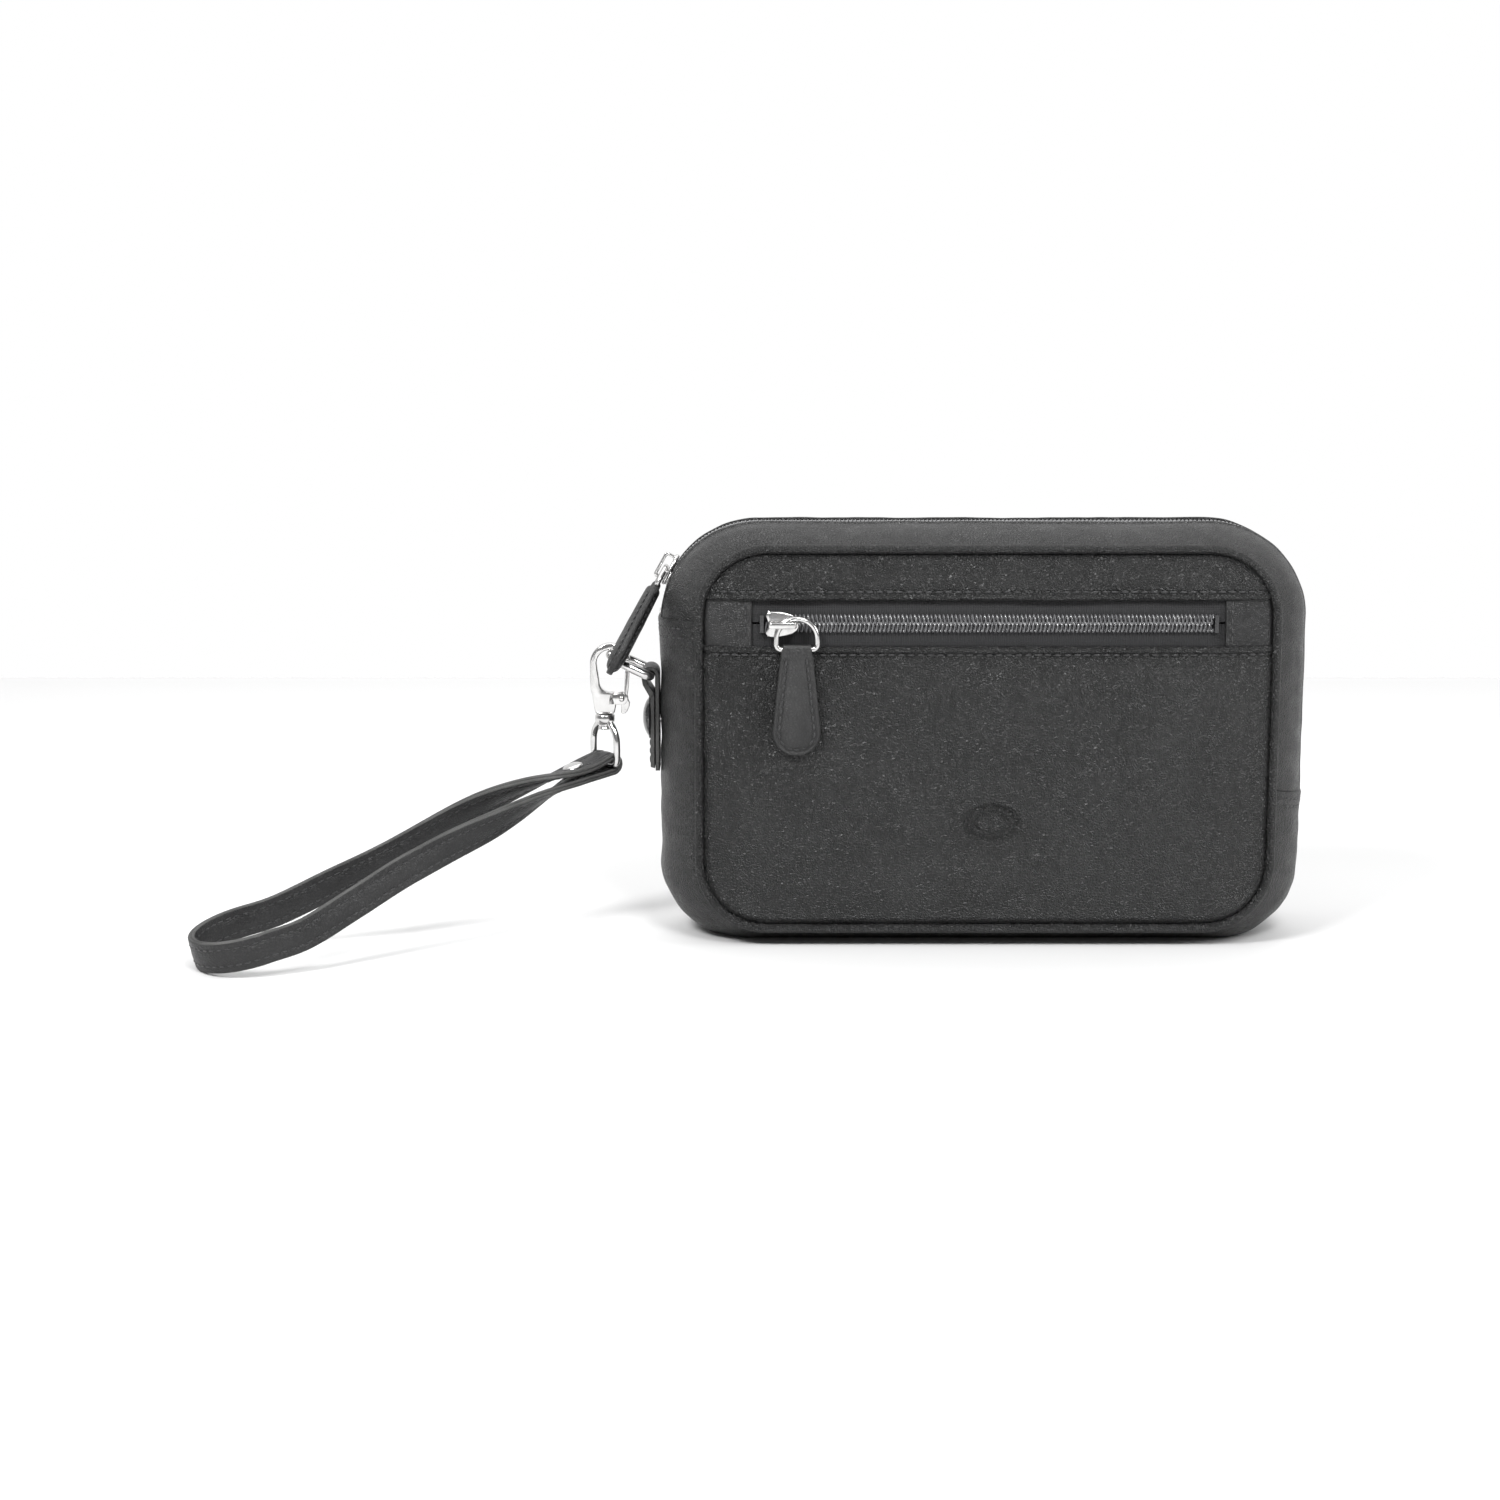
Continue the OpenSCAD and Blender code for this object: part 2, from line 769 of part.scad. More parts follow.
// ---------------------------------------------------------------- side tab, ring and hook
module tab_profile() {
    in_r = bar_r + bar_play;
    out_r = in_r + leather_t;
    free_x = tab_x - leather_t - 0.2;
    polygon(concat(
        [[tab_x, tab_low]],
        [for (k = [0:tab_steps]) [bar_x, bar_z] + out_r * [cos(180 * k / tab_steps), sin(180 * k / tab_steps)]],
        [[bar_x - out_r + 0.6, bar_z - 3], [free_x - leather_t, bar_z - 7], [free_x - leather_t, tab_low + 1],
         [free_x, tab_low + 1], [free_x, bar_z - 5.5], [bar_x - in_r + 0.9, bar_z - 2.5]],
        [for (k = [tab_steps:-1:0]) [bar_x, bar_z] + in_r * [cos(180 * k / tab_steps), sin(180 * k / tab_steps)]],
        [[tab_x - leather_t, tab_low]]));
}

module side_tab() {
    color(leather_col)
        difference() {
            translate([0, tab_w / 2, 0])
                rotate([90, 0, 0])
                    linear_extrude(tab_w)
                        tab_profile();
            translate([tab_x - 5, 0, stud_z])
                rotate([0, 90, 0])
                    cylinder(h = 8, r = 2);
        }
}

module stud_cap() {
    face_x = tab_x - 2 * leather_t - 0.25;
    dome_r = 11.4;
    color(cloth_col)
        translate([face_x, 0, stud_z])
            intersection() {
                translate([dome_r - 2.4, 0, 0])
                    sphere(r = dome_r, $fn = 160);
                translate([-3, 0, 0])
                    rotate([0, 90, 0])
                        cylinder(h = 3, r = 7, $fn = 96);
            }
}

module stud_post() {
    color(metal_col)
        translate([tab_x - 2 * leather_t - 0.2, 0, stud_z])
            rotate([0, 90, 0]) {
                cylinder(h = 5, r = 1.95);
                translate([0, 0, 5 - eps])
                    cylinder(h = 0.5, r = 4);
            }
}

module d_ring() {
    color(metal_col)
        translate([bar_x, 0, bar_z])
            rotate([0, ring_rise - 90, 0])
                translate([0, 0, d_drop])
                    rotate([0, 0, 90])
                        d_wire(d_r, d_drop, d_corner, bar_r);
}

// Outline of the hook in the XZ plane
module hook_profile() {
    out_r = eye_hole_r + hook_wall;
    difference() {
        union() {
            translate([tip_x, hook_arc_z])
                circle(r = out_r);
            polygon([
                [tip_x - out_r, hook_arc_z], [tip_x - out_r, hook_floor], [neck_x - 3.2, hook_base],
                [neck_x + 3.2, hook_base], [tip_x + 5.2, hook_floor - 1], [tip_x + 5.2, hook_floor],
                [tip_x + out_r, hook_arc_z]]);
        }
        translate([tip_x, hook_arc_z])
            circle(r = eye_hole_r);
        translate([tip_x, hook_floor + 3.6])
            circle(r = 3.6);
        polygon([
            [tip_x - eye_hole_r, hook_arc_z], [tip_x - 3.6, hook_floor + 3.6], [tip_x + 3.6, hook_floor + 3.6],
            [tip_x + eye_hole_r, hook_arc_z]]);
        // Room for the lever between the nose and the base
        polygon([
            [tip_x + 1, hook_floor + 0.4], [tip_x + 1.6, hook_floor - 4], [tip_x + 9, hook_floor - 6.5],
            [tip_x + 9, hook_arc_z + 1], [tip_x + 3, hook_arc_z + 1]]);
    }
}

module hook_body() {
    cheek = 0.55;
    color(metal_col)
        difference() {
            union() {
                translate([0, hook_half_t, 0])
                    rotate([90, 0, 0])
                        linear_extrude(2 * hook_half_t)
                            hook_profile();
                for (s = [-1, 1])
                    translate([lever_x, s * (hook_half_t - cheek / 2) + cheek / 2, lever_z])
                        rotate([90, 0, 0])
                            linear_extrude(cheek) {
                                circle(r = 2);
                                translate([-4.5, -2])
                                    square([4.5, 4]);
                            }
                translate([neck_x, 0, hub_low - 2.4])
                    cylinder(h = hook_base - hub_low + 2.5, r = post_r);
            }
            translate([lever_x, 3, lever_z])
                rotate([90, 0, 0])
                    cylinder(h = 6, r = pin_r);
        }
}

module lever_profile() {
    polygon([
        [0.8, 1.6], [1.3, 12.4], [2.8, 12.4], [2.3, 4], [1.85, 0.8], [2.6, -1.5], [1.6, -4.8], [-0.2, -5.2],
        [-0.3, -1.8], [-1.3, -1.3], [-1.8, 0], [-1.3, 1.3], [0, 1.8]]);
}

module hook_lever() {
    half_t = 0.9;
    color(metal_col)
        translate([lever_x, half_t, lever_z])
            rotate([90, 0, 0])
                difference() {
                    linear_extrude(2 * half_t)
                        lever_profile();
                    translate([0, 0, -1])
                        cylinder(h = 2 * half_t + 2, r = pin_r + 0.05);
                }
}

module lever_pin() {
    color(metal_col)
        translate([lever_x, hook_half_t, lever_z])
            rotate([90, 0, 0])
                cylinder(h = 2 * hook_half_t, r = pin_r);
}

module lever_spring() {
    color(metal_col)
        translate([lever_x, 0, lever_z])
            for (s = [-1, 1])
                translate([0, s * 0.96 + 0.06, 0])
                    rotate([90, 0, 0])
                        rotate_extrude()
                            translate([pin_r + 0.2, 0])
                                square([0.35, 0.12]);
}

module swivel_collar() {
    color(metal_col)
        translate([neck_x, 0, hub_low - 2.4])
            difference() {
                cylinder(h = 2.1, r = 2);
                translate([0, 0, -1])
                    cylinder(h = 4, r = post_r);
            }
}

module swivel_eye() {
    hub_h = hub_high - hub_low;
    hub_z = hub_low - bar_low_z;
    hub_r = 3.2;
    arm_half = eye_wire - 0.1;
    shoulder = 8;
    color(metal_col)
        translate([neck_x, 0, bar_low_z])
            rotate([0, 0, eye_yaw])
                difference() {
                    union() {
                        rod([0.3 - eye_half, 0, 0], [eye_half - 0.3, 0, 0], eye_wire);
                        for (s = [-1, 1])
                            mirror([s < 0 ? 1 : 0, 0, 0])
                                translate([0, arm_half, 0])
                                    rotate([90, 0, 0])
                                        linear_extrude(2 * arm_half)
                                            polygon([
                                                [eye_half - 1.1, 0.9], [eye_half - 0.9, -0.9],
                                                [eye_half + 0.5, -1.2], [eye_half + 1.1, -0.6],
                                                [eye_half + 1.1, shoulder + 0.3], [hub_r - 0.2, hub_z + hub_h - 0.3],
                                                [hub_r - 0.9, hub_z + hub_h - 0.4], [hub_r - 0.9, hub_z + 0.3],
                                                [eye_half - 1.1, shoulder - 0.3]]);
                        translate([0, 0, hub_z])
                            cylinder(h = hub_h, r = hub_r);
                    }
                    translate([0, 0, hub_z - 1])
                        cylinder(h = hub_h + 2, r = post_r + 0.06);
                }
}

// ---------------------------------------------------------------- wrist strap
// Smooth values through a list, u counted in list steps
function smooth_at(list, u) =
    let (n = len(list) - 1,
         k = min(n - 1, floor(u)),
         f = u - k,
         b = list[k],
         c = list[k + 1],
         a = k > 0 ? list[k - 1] : 2 * b - c,
         d = k < n - 1 ? list[k + 2] : 2 * c - b)
    (2 * b + (c - a) * f + (2 * a - 5 * b + 4 * c - d) * f * f + (3 * b - a - 3 * c + d) * f * f * f) / 2;

up = [0, 0, 1];
function heading(u) =
    let (h = 0.02, a = max(0, u - h), b = min(len(route) - 1, u + h))
    u < h ? unit([sin(eye_yaw), -cos(eye_yaw), -0.25]) : unit(smooth_at(route, b) - smooth_at(route, a));
function spread_dir(u) =
    let (t = heading(u), side = unit(cross(up, t)), rise = unit(cross(t, side)), w = smooth_at(twist, u))
    rise * cos(w) - side * sin(w);

// Four corners of the strap at a station; the way in is towards the middle of the loop
function strap_section(p, t, inward) =
    let (w = unit(cross(t, inward)) * strap_w / 2, h = inward * strap_t / 2)
    [p + w + h, p - w + h, p - w - h, p + w - h];
function strand(s, u) =
    let (d = spread_dir(u), p = smooth_at(route, u) + s * d * smooth_at(spread, u))
    strap_section(p, s * heading(u), -s * d);
function bend_section(c, t, d, r, a) =
    let (out = d * cos(a) + t * sin(a))
    strap_section(c + out * r, t * cos(a) - d * sin(a), -out);

last = len(route) - 1;
strand_us = concat([0.35], [for (k = [0:12]) 0.5 + 0.15 * k], [for (k = [10:26]) last * k / 27 * 1.02 - 0.1]);
strap_sections = let (
        t0 = heading(0), d0 = spread_dir(0), t1 = heading(last), d1 = spread_dir(last))
    concat(
        [for (u = strand_us) strand(1, u)],
        [for (a = [0:15:180]) bend_section(route[last], t1, d1, turn_r, a)],
        [for (k = [len(strand_us) - 1:-1:0]) strand(-1, strand_us[k])],
        [for (a = [0:20:180]) bend_section(route[0], -t0, -d0, wrap_r, a)]);

module wrist_strap() {
    n = len(strap_sections);
    quads = [for (i = [0:n - 1], j = [0:3])
        let (i2 = (i + 1) % n, j2 = (j + 1) % 4)
        [4 * i + j, 4 * i + j2, 4 * i2 + j2, 4 * i2 + j]];
    color(leather_col)
        polyhedron(
            points = [for (s = strap_sections) each s],
            faces = [for (q = quads) each [[q[0], q[1], q[2]], [q[0], q[2], q[3]]]]);
}

// Rivet that closes the strap next to the swivel
module strap_rivet() {
    c = smooth_at(route, 1);
    d = spread_dir(1);
    reach = spread[1] + strap_t / 2 + 0.05;
    color(metal_col) {
        rod(c - d * reach, c + d * reach, 1.2);
        rod(c + d * (reach - eps), c + d * (reach + 0.9), 3.4);
        rod(c - d * (reach + 0.9), c - d * (reach - eps), 3.4);
    }
}

back_panel();
front_upper_panel();
front_pocket_panel();
zip_end_patch_left();
zip_end_patch_right();
bottom_gusset();
corner_strip_front_left();
corner_strip_front_right();
corner_strip_back_left();
corner_strip_back_right();
corner_tape_left();
corner_tape_right();
corner_coil_left();
corner_coil_right();
main_zip_stops();
piping_front();
piping_back();
front_board();
back_board();
base_board();
lining_front();
lining_back();
lining_gusset();
lining_corner_left();
lining_corner_right();
pocket_pouch();
pocket_tape_upper();
pocket_tape_lower();
pocket_coil_upper();
pocket_coil_lower();
pocket_zip_stops();
side_tab();
stud_cap();
stud_post();
top_strip_front();
top_tape_front();
top_coil_front();
lining_lip_front();
top_strip_back();
top_tape_back();
top_coil_back();
lining_lip_back();
pocket_slider();
pocket_pull_ring();
pocket_pull();
main_slider();
main_pull_ring();
main_pull();
d_ring();
hook_body();
hook_lever();
lever_pin();
lever_spring();
swivel_collar();
swivel_eye();
wrist_strap();
strap_rivet();
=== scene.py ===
"""Looks of a soft leather make-up bag with a wrist strap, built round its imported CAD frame."""
from __future__ import annotations

import logging
import math
from dataclasses import dataclass, field
from enum import Enum
from typing import Callable, Sequence

import bmesh
import bpy
from mathutils import Matrix, Vector, noise


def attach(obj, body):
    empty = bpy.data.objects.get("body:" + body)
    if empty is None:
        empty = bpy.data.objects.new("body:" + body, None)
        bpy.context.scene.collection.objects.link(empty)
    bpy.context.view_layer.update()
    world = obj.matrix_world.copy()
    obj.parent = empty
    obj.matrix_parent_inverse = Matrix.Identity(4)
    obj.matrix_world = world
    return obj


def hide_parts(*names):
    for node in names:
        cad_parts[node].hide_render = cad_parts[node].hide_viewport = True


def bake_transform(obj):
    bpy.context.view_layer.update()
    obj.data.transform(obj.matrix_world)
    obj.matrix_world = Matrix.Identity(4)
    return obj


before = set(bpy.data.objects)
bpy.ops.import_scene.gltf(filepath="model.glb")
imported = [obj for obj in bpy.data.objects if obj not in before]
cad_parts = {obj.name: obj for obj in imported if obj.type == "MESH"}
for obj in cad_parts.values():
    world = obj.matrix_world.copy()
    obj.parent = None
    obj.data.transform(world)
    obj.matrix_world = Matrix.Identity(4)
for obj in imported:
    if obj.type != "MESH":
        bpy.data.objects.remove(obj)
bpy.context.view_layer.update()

log = logging.getLogger("makeup_bag")
MM = 0.001
SHARP_ANGLE = math.radians(58)
POCKET_ZIP_FACE = -30.7381
POCKET_RING_PIVOT = (-60.9038, -33.388, 101.1538)
CORNER_CENTRE = (-73, 0, 104)
MAIN_SLIDER_ANGLE = 29
Surface = Callable[[float, float], Vector]


class Side(Enum):
    """Front or back of the bag, as the sign of Y."""

    FRONT = -1
    BACK = 1


class End(Enum):
    """Left or right end of the bag, as the sign of X."""

    LEFT = -1
    RIGHT = 1


# ------------------------------------------------------------------ finishes
class NodeKit:
    """Short ways to add shader nodes to one material."""

    def __init__(self, name: str) -> None:
        """Starts an empty node material.

        Args:
            name: Name of the material.
        """
        self.material = bpy.data.materials.new(name)
        self.material.use_nodes = True
        self.tree = self.material.node_tree
        self.shader = self.tree.nodes["Principled BSDF"]
        self.coords = self.tree.nodes.new("ShaderNodeTexCoord").outputs["Object"]

    def node(self, kind: str, inputs: dict[str, object], **settings: object) -> bpy.types.Node:
        """Adds a node, sets its properties and fills or links its inputs.

        Args:
            kind: Blender's node type name.
            inputs: Values or output sockets by input name.
            settings: Node properties.

        Returns:
            The new node.
        """
        made = self.tree.nodes.new(kind)
        for key, value in settings.items():
            setattr(made, key, value)
        for key, value in inputs.items():
            if isinstance(value, bpy.types.NodeSocket):
                self.tree.links.new(value, made.inputs[key])
            else:
                made.inputs[key].default_value = value
        return made

    def noise(self, scale: float, detail: float = 3.0, distortion: float = 0.0) -> bpy.types.NodeSocket:
        """Adds noise in object space.

        Args:
            scale: Cycles per metre.
            detail: Octaves.
            distortion: Warp of the pattern.

        Returns:
            The noise value socket.
        """
        return self.node("ShaderNodeTexNoise", {"Vector": self.coords, "Scale": scale, "Detail": detail,
                                                "Distortion": distortion}).outputs["Fac"]

    def spread(self, value: bpy.types.NodeSocket, low: float, high: float,
               source: tuple[float, float] = (0.3, 0.7)) -> bpy.types.NodeSocket:
        """Maps a value to a range.

        Args:
            value: Input socket.
            low: Result at the low end.
            high: Result at the high end.
            source: Input range.

        Returns:
            The mapped socket.
        """
        return self.node("ShaderNodeMapRange", {"Value": value, "From Min": source[0], "From Max": source[1],
                                                "To Min": low, "To Max": high}).outputs["Result"]

    def mix(self, factor: bpy.types.NodeSocket | float, a: Sequence[float],
            b: Sequence[float]) -> bpy.types.NodeSocket:
        """Mixes two colours.

        Args:
            factor: Share of b.
            a: First colour.
            b: Second colour.

        Returns:
            The colour socket.
        """
        made = self.node("ShaderNodeMix", {}, data_type="RGBA")
        for index, value in ((0, factor), (6, a), (7, b)):
            if isinstance(value, bpy.types.NodeSocket):
                self.tree.links.new(value, made.inputs[index])
            else:
                made.inputs[index].default_value = value if index == 0 else (*value[:3], 1.0)
        return made.outputs[2]

    def math(self, operation: str, a: bpy.types.NodeSocket | float,
             b: bpy.types.NodeSocket | float) -> bpy.types.NodeSocket:
        """Adds one math node.

        Args:
            operation: Blender's operation name.
            a: First value.
            b: Second value.

        Returns:
            The result socket.
        """
        made = self.tree.nodes.new("ShaderNodeMath")
        made.operation = operation
        for index, value in enumerate((a, b)):
            if isinstance(value, bpy.types.NodeSocket):
                self.tree.links.new(value, made.inputs[index])
            else:
                made.inputs[index].default_value = value
        return made.outputs[0]

    def bump(self, height: bpy.types.NodeSocket, strength: float, depth: float,
             before: bpy.types.NodeSocket | None = None) -> bpy.types.NodeSocket:
        """Adds a bump.

        Args:
            height: Height socket.
            strength: Strength from 0 to 1.
            depth: Distance in metres.
            before: Normal of an earlier bump.

        Returns:
            The normal socket.
        """
        inputs: dict[str, object] = {"Height": height, "Strength": strength, "Distance": depth}
        if before is not None:
            inputs["Normal"] = before
        return self.node("ShaderNodeBump", inputs).outputs["Normal"]

    def set(self, **values: object) -> None:
        """Sets or links inputs of the main shader.

        Args:
            values: Values by input name, with underscores for spaces.
        """
        for key, value in values.items():
            socket = self.shader.inputs[key.replace("_", " ")]
            if isinstance(value, bpy.types.NodeSocket):
                self.tree.links.new(value, socket)
            else:
                socket.default_value = value


@dataclass(frozen=True)
class Finish:
    """A material with the record's slot that it stands for."""

    name: str
    slot: str

    def paint(self, kit: NodeKit) -> None:
        """Adds the look's nodes.

        Args:
            kit: Node helper of the new material.
        """
        raise NotImplementedError

    def material(self) -> bpy.types.Material:
        """Gives the material, made on first use.

        Returns:
            The node material.
        """
        known = bpy.data.materials.get(self.name)
        if known is None:
            kit = NodeKit(self.name)
            self.paint(kit)
            known = kit.material
        return known


@dataclass(frozen=True)
class Leather(Finish):
    """Grained leather."""

    dark: tuple[float, float, float] = (0.0050, 0.0051, 0.0052)
    light: tuple[float, float, float] = (0.0125, 0.0127, 0.0128)
    grain: float = 1150.0
    depth: float = 0.00048
    gloss: float = 0.35

    def paint(self, kit: NodeKit) -> None:
        """Adds pebbled grain, fine pores, soft colour change and painted shade in the grain's crevices.

        Args:
            kit: Node helper of the new material.
        """
        warp = kit.node("ShaderNodeTexNoise",
                        {"Vector": kit.coords, "Scale": self.grain * 0.35, "Detail": 2.0})
        moved = kit.node("ShaderNodeVectorMath", {0: warp.outputs["Color"]}, operation="SCALE")
        moved.inputs["Scale"].default_value = 0.9 / self.grain
        place = kit.node("ShaderNodeVectorMath", {0: kit.coords, 1: moved.outputs[0]}, operation="ADD")
        cell = kit.node("ShaderNodeTexVoronoi", {"Vector": place.outputs[0], "Scale": self.grain},
                        feature="DISTANCE_TO_EDGE").outputs["Distance"]
        pebble = kit.spread(cell, 0.0, 1.0, (0.0, 0.28))
        broad = kit.noise(70.0, 4.0, 0.4)
        pores = kit.noise(self.grain * 4.5, 2.0)
        first = kit.bump(broad, 0.35, 0.0011)
        second = kit.bump(pebble, 0.75, self.depth, first)
        normal = kit.bump(pores, 0.35, self.depth * 0.4, second)
        shade = kit.mix(kit.spread(kit.noise(60.0, 6.0), 0.0, 1.0), self.dark, self.light)
        # painted shade: the colour is darkened to about half in the crevices between the grains
        crevice_shade = kit.spread(pebble, 0.55, 1.0, (0.0, 1.0))
        colour = kit.mix(crevice_shade, (0.003, 0.003, 0.003), (1, 1, 1))
        made = kit.node("ShaderNodeMix", {}, data_type="RGBA", blend_type="MULTIPLY")
        made.inputs[0].default_value = 1.0
        kit.tree.links.new(shade, made.inputs[6])
        kit.tree.links.new(colour, made.inputs[7])
        rough = kit.spread(kit.noise(160.0, 4.0), self.gloss - 0.07, self.gloss + 0.10)
        kit.set(Base_Color=made.outputs[2], Roughness=rough, Normal=normal)
        kit.shader.inputs["Specular IOR Level"].default_value = 0.44


@dataclass(frozen=True)
class Woven(Finish):
    """Plain woven cloth or tape."""

    colour: tuple[float, float, float] = (0.006, 0.006, 0.0065)
    pitch: float = 0.00055
    rough: float = 0.85

    def paint(self, kit: NodeKit) -> None:
        """Adds crossing ribs with some fuzz, and paints the raised ribs lighter than the hollows as painted
        highlight.

        Args:
            kit: Node helper of the new material.
        """
        ribs = []
        for axis in ("X", "Y", "Z"):
            wave = kit.node("ShaderNodeTexWave", {"Vector": kit.coords, "Scale": 0.314 / self.pitch,
                                                  "Distortion": 0.6, "Detail": 1.0}, bands_direction=axis)
            ribs.append(wave.outputs["Fac"])
        crossing = kit.math("ADD", kit.math("MAXIMUM", ribs[1], ribs[2]), 0.3)
        height = kit.math("MULTIPLY", kit.math("ADD", ribs[0], 0.3), crossing)
        fuzz = kit.noise(2600.0, 2.0)
        normal = kit.bump(fuzz, 0.3, 0.00008, kit.bump(height, 0.7, 0.00014))
        # painted highlight: the raised ribs are painted up to nearly three times lighter than the hollows,
        # which stay dark as painted shade
        bright = tuple(c * 3.2 for c in self.colour)
        kit.set(Base_Color=kit.mix(kit.spread(height, 0.0, 0.8, (0.1, 1.3)), self.colour, bright),
                Roughness=self.rough, Normal=normal, Sheen_Weight=0.15, Sheen_Roughness=0.4)


@dataclass(frozen=True)
class Metal(Finish):
    """Plated metal with faint scratches."""

    colour: tuple[float, float, float] = (0.66, 0.655, 0.65)
    rough: float = 0.14

    def paint(self, kit: NodeKit) -> None:
        """Adds smudges and fine scratches.

        Args:
            kit: Node helper of the new material.
        """
        smudge = kit.noise(320.0, 4.0)
        scratch = kit.node("ShaderNodeTexNoise", {"Vector": kit.coords, "Scale": 900.0, "Detail": 4.0,
                                                  "Distortion": 3.0}).outputs["Fac"]
        dull = tuple(c * 0.86 for c in self.colour)
        kit.set(Base_Color=kit.mix(kit.spread(smudge, 0.0, 1.0), self.colour, dull), Metallic=1.0,
                Roughness=kit.spread(smudge, self.rough * 0.7, self.rough * 1.7),
                Normal=kit.bump(scratch, 0.12, 0.00005))


@dataclass(frozen=True)
class Moulded(Finish):
    """Nylon, board or enamel, with a fine uneven surface."""

    colour: tuple[float, float, float] = (0.03, 0.03, 0.032)
    rough: float = 0.32
    coat: float = 0.0

    def paint(self, kit: NodeKit) -> None:
        """Adds a slightly uneven colour and surface.

        Args:
            kit: Node helper of the new material.
        """
        grain = kit.noise(1500.0, 3.0)
        light = tuple(min(1.0, c * 1.45 + 0.002) for c in self.colour)
        kit.set(Base_Color=kit.mix(kit.spread(kit.noise(260.0, 3.0), 0.0, 1.0), self.colour, light),
                Roughness=kit.spread(grain, self.rough * 0.8, self.rough * 1.25), Coat_Weight=self.coat,
                Normal=kit.bump(grain, 0.1, 0.00004))


SHELL = Leather("grained_leather", "shell_leather")
PIPING = Leather("piping_leather_look", "piping_leather", gloss=0.42)
PATCH = Leather("patch_leather", "shell_leather", dark=(0.007, 0.007, 0.0072), light=(0.016, 0.016, 0.0165),
                grain=1500.0, depth=0.00010, gloss=0.34)
PULL = Leather("pull_leather_look", "pull_leather", dark=(0.012, 0.012, 0.0125), light=(0.034, 0.034, 0.034),
               grain=1100.0, depth=0.00012, gloss=0.5)
STRAP = Leather("strap_leather_look", "strap_leather", dark=(0.008, 0.008, 0.0085),
                light=(0.021, 0.021, 0.0215), grain=1000.0, depth=0.00013, gloss=0.42)
EDGE = Leather("cut_edge_leather", "strap_leather", dark=(0.035, 0.035, 0.034), light=(0.10, 0.10, 0.098),
               grain=2400.0, depth=0.00010, gloss=0.62)
LINING = Woven("lining_weave", "lining_cloth", colour=(0.020, 0.019, 0.020), pitch=0.0005, rough=0.7)
TAPE = Woven("zip_tape_weave", "zip_tape")
THREAD = Woven("black_thread", "shell_leather", colour=(0.014, 0.014, 0.0145), pitch=0.0003, rough=0.42)
COIL = Moulded("nylon_coil", "zip_coil", colour=(0.075, 0.075, 0.078), rough=0.2, coat=0.6)
BOARD = Moulded("fibre_board", "stiffener_board", colour=(0.30, 0.24, 0.18), rough=0.8)
NICKEL = Metal("bright_nickel", "slider_nickel", rough=0.17)
CHROME = Metal("silver_plating", "hardware_chrome", rough=0.13)
SPRING = Metal("spring_wire", "spring_steel", colour=(0.55, 0.55, 0.56), rough=0.3)
ENAMEL = Moulded("black_enamel", "stud_enamel", colour=(0.010, 0.010, 0.011), rough=0.17, coat=0.4)


# ------------------------------------------------------------------ mesh building
def graded(low: float, high: float, step: float, fine: float = 0.0, band: float = 0.0) -> list[float]:
    """Makes ascending values, closer together near both ends.

    Args:
        low: First value.
        high: Last value.
        step: Spacing in the middle.
        fine: Spacing within the bands, or 0 for even values.
        band: Width of the bands at both ends.

    Returns:
        The values.
    """
    edge = [fine * k for k in range(int(round(band / fine)))] if fine else []
    width = len(edge) * fine if fine else 0.0
    count = max(1, round((high - low - 2 * width) / step))
    middle = [low + width + (high - low - 2 * width) * k / count for k in range(count + 1)]
    return [low + e for e in edge] + middle + [high - e for e in reversed(edge)]


def curl(distance: float, radius: float) -> float:
    """Says how far a rounded edge has dropped at a distance from it.

    Args:
        distance: Distance from the edge.
        radius: Radius of the rounding.

    Returns:
        The drop, from 0 to the radius.
    """
    if distance >= radius:
        return 0.0
    t = 1.0 - max(0.0, distance) / radius
    return radius * (1.0 - math.sqrt(max(0.0, 1.0 - t * t)))


def dent(distance: float, width: float) -> float:
    """Gives a smooth dent of depth 1 at distance 0.

    Args:
        distance: Distance from its middle.
        width: Half width.

    Returns:
        Share of the depth.
    """
    return math.exp(-((distance / width) ** 2))


def soft(x: float, y: float, z: float, size: float, seed: float) -> float:
    """Gives smooth noise from about -1 to 1, the same at each run.

    Args:
        x: First coordinate in mm.
        y: Second coordinate in mm.
        z: Third coordinate in mm.
        size: Size of its features in mm.
        seed: Shifts the pattern.

    Returns:
        The noise value.
    """
    return noise.noise(Vector((x / size + seed, y / size - seed, z / size + 2 * seed)))


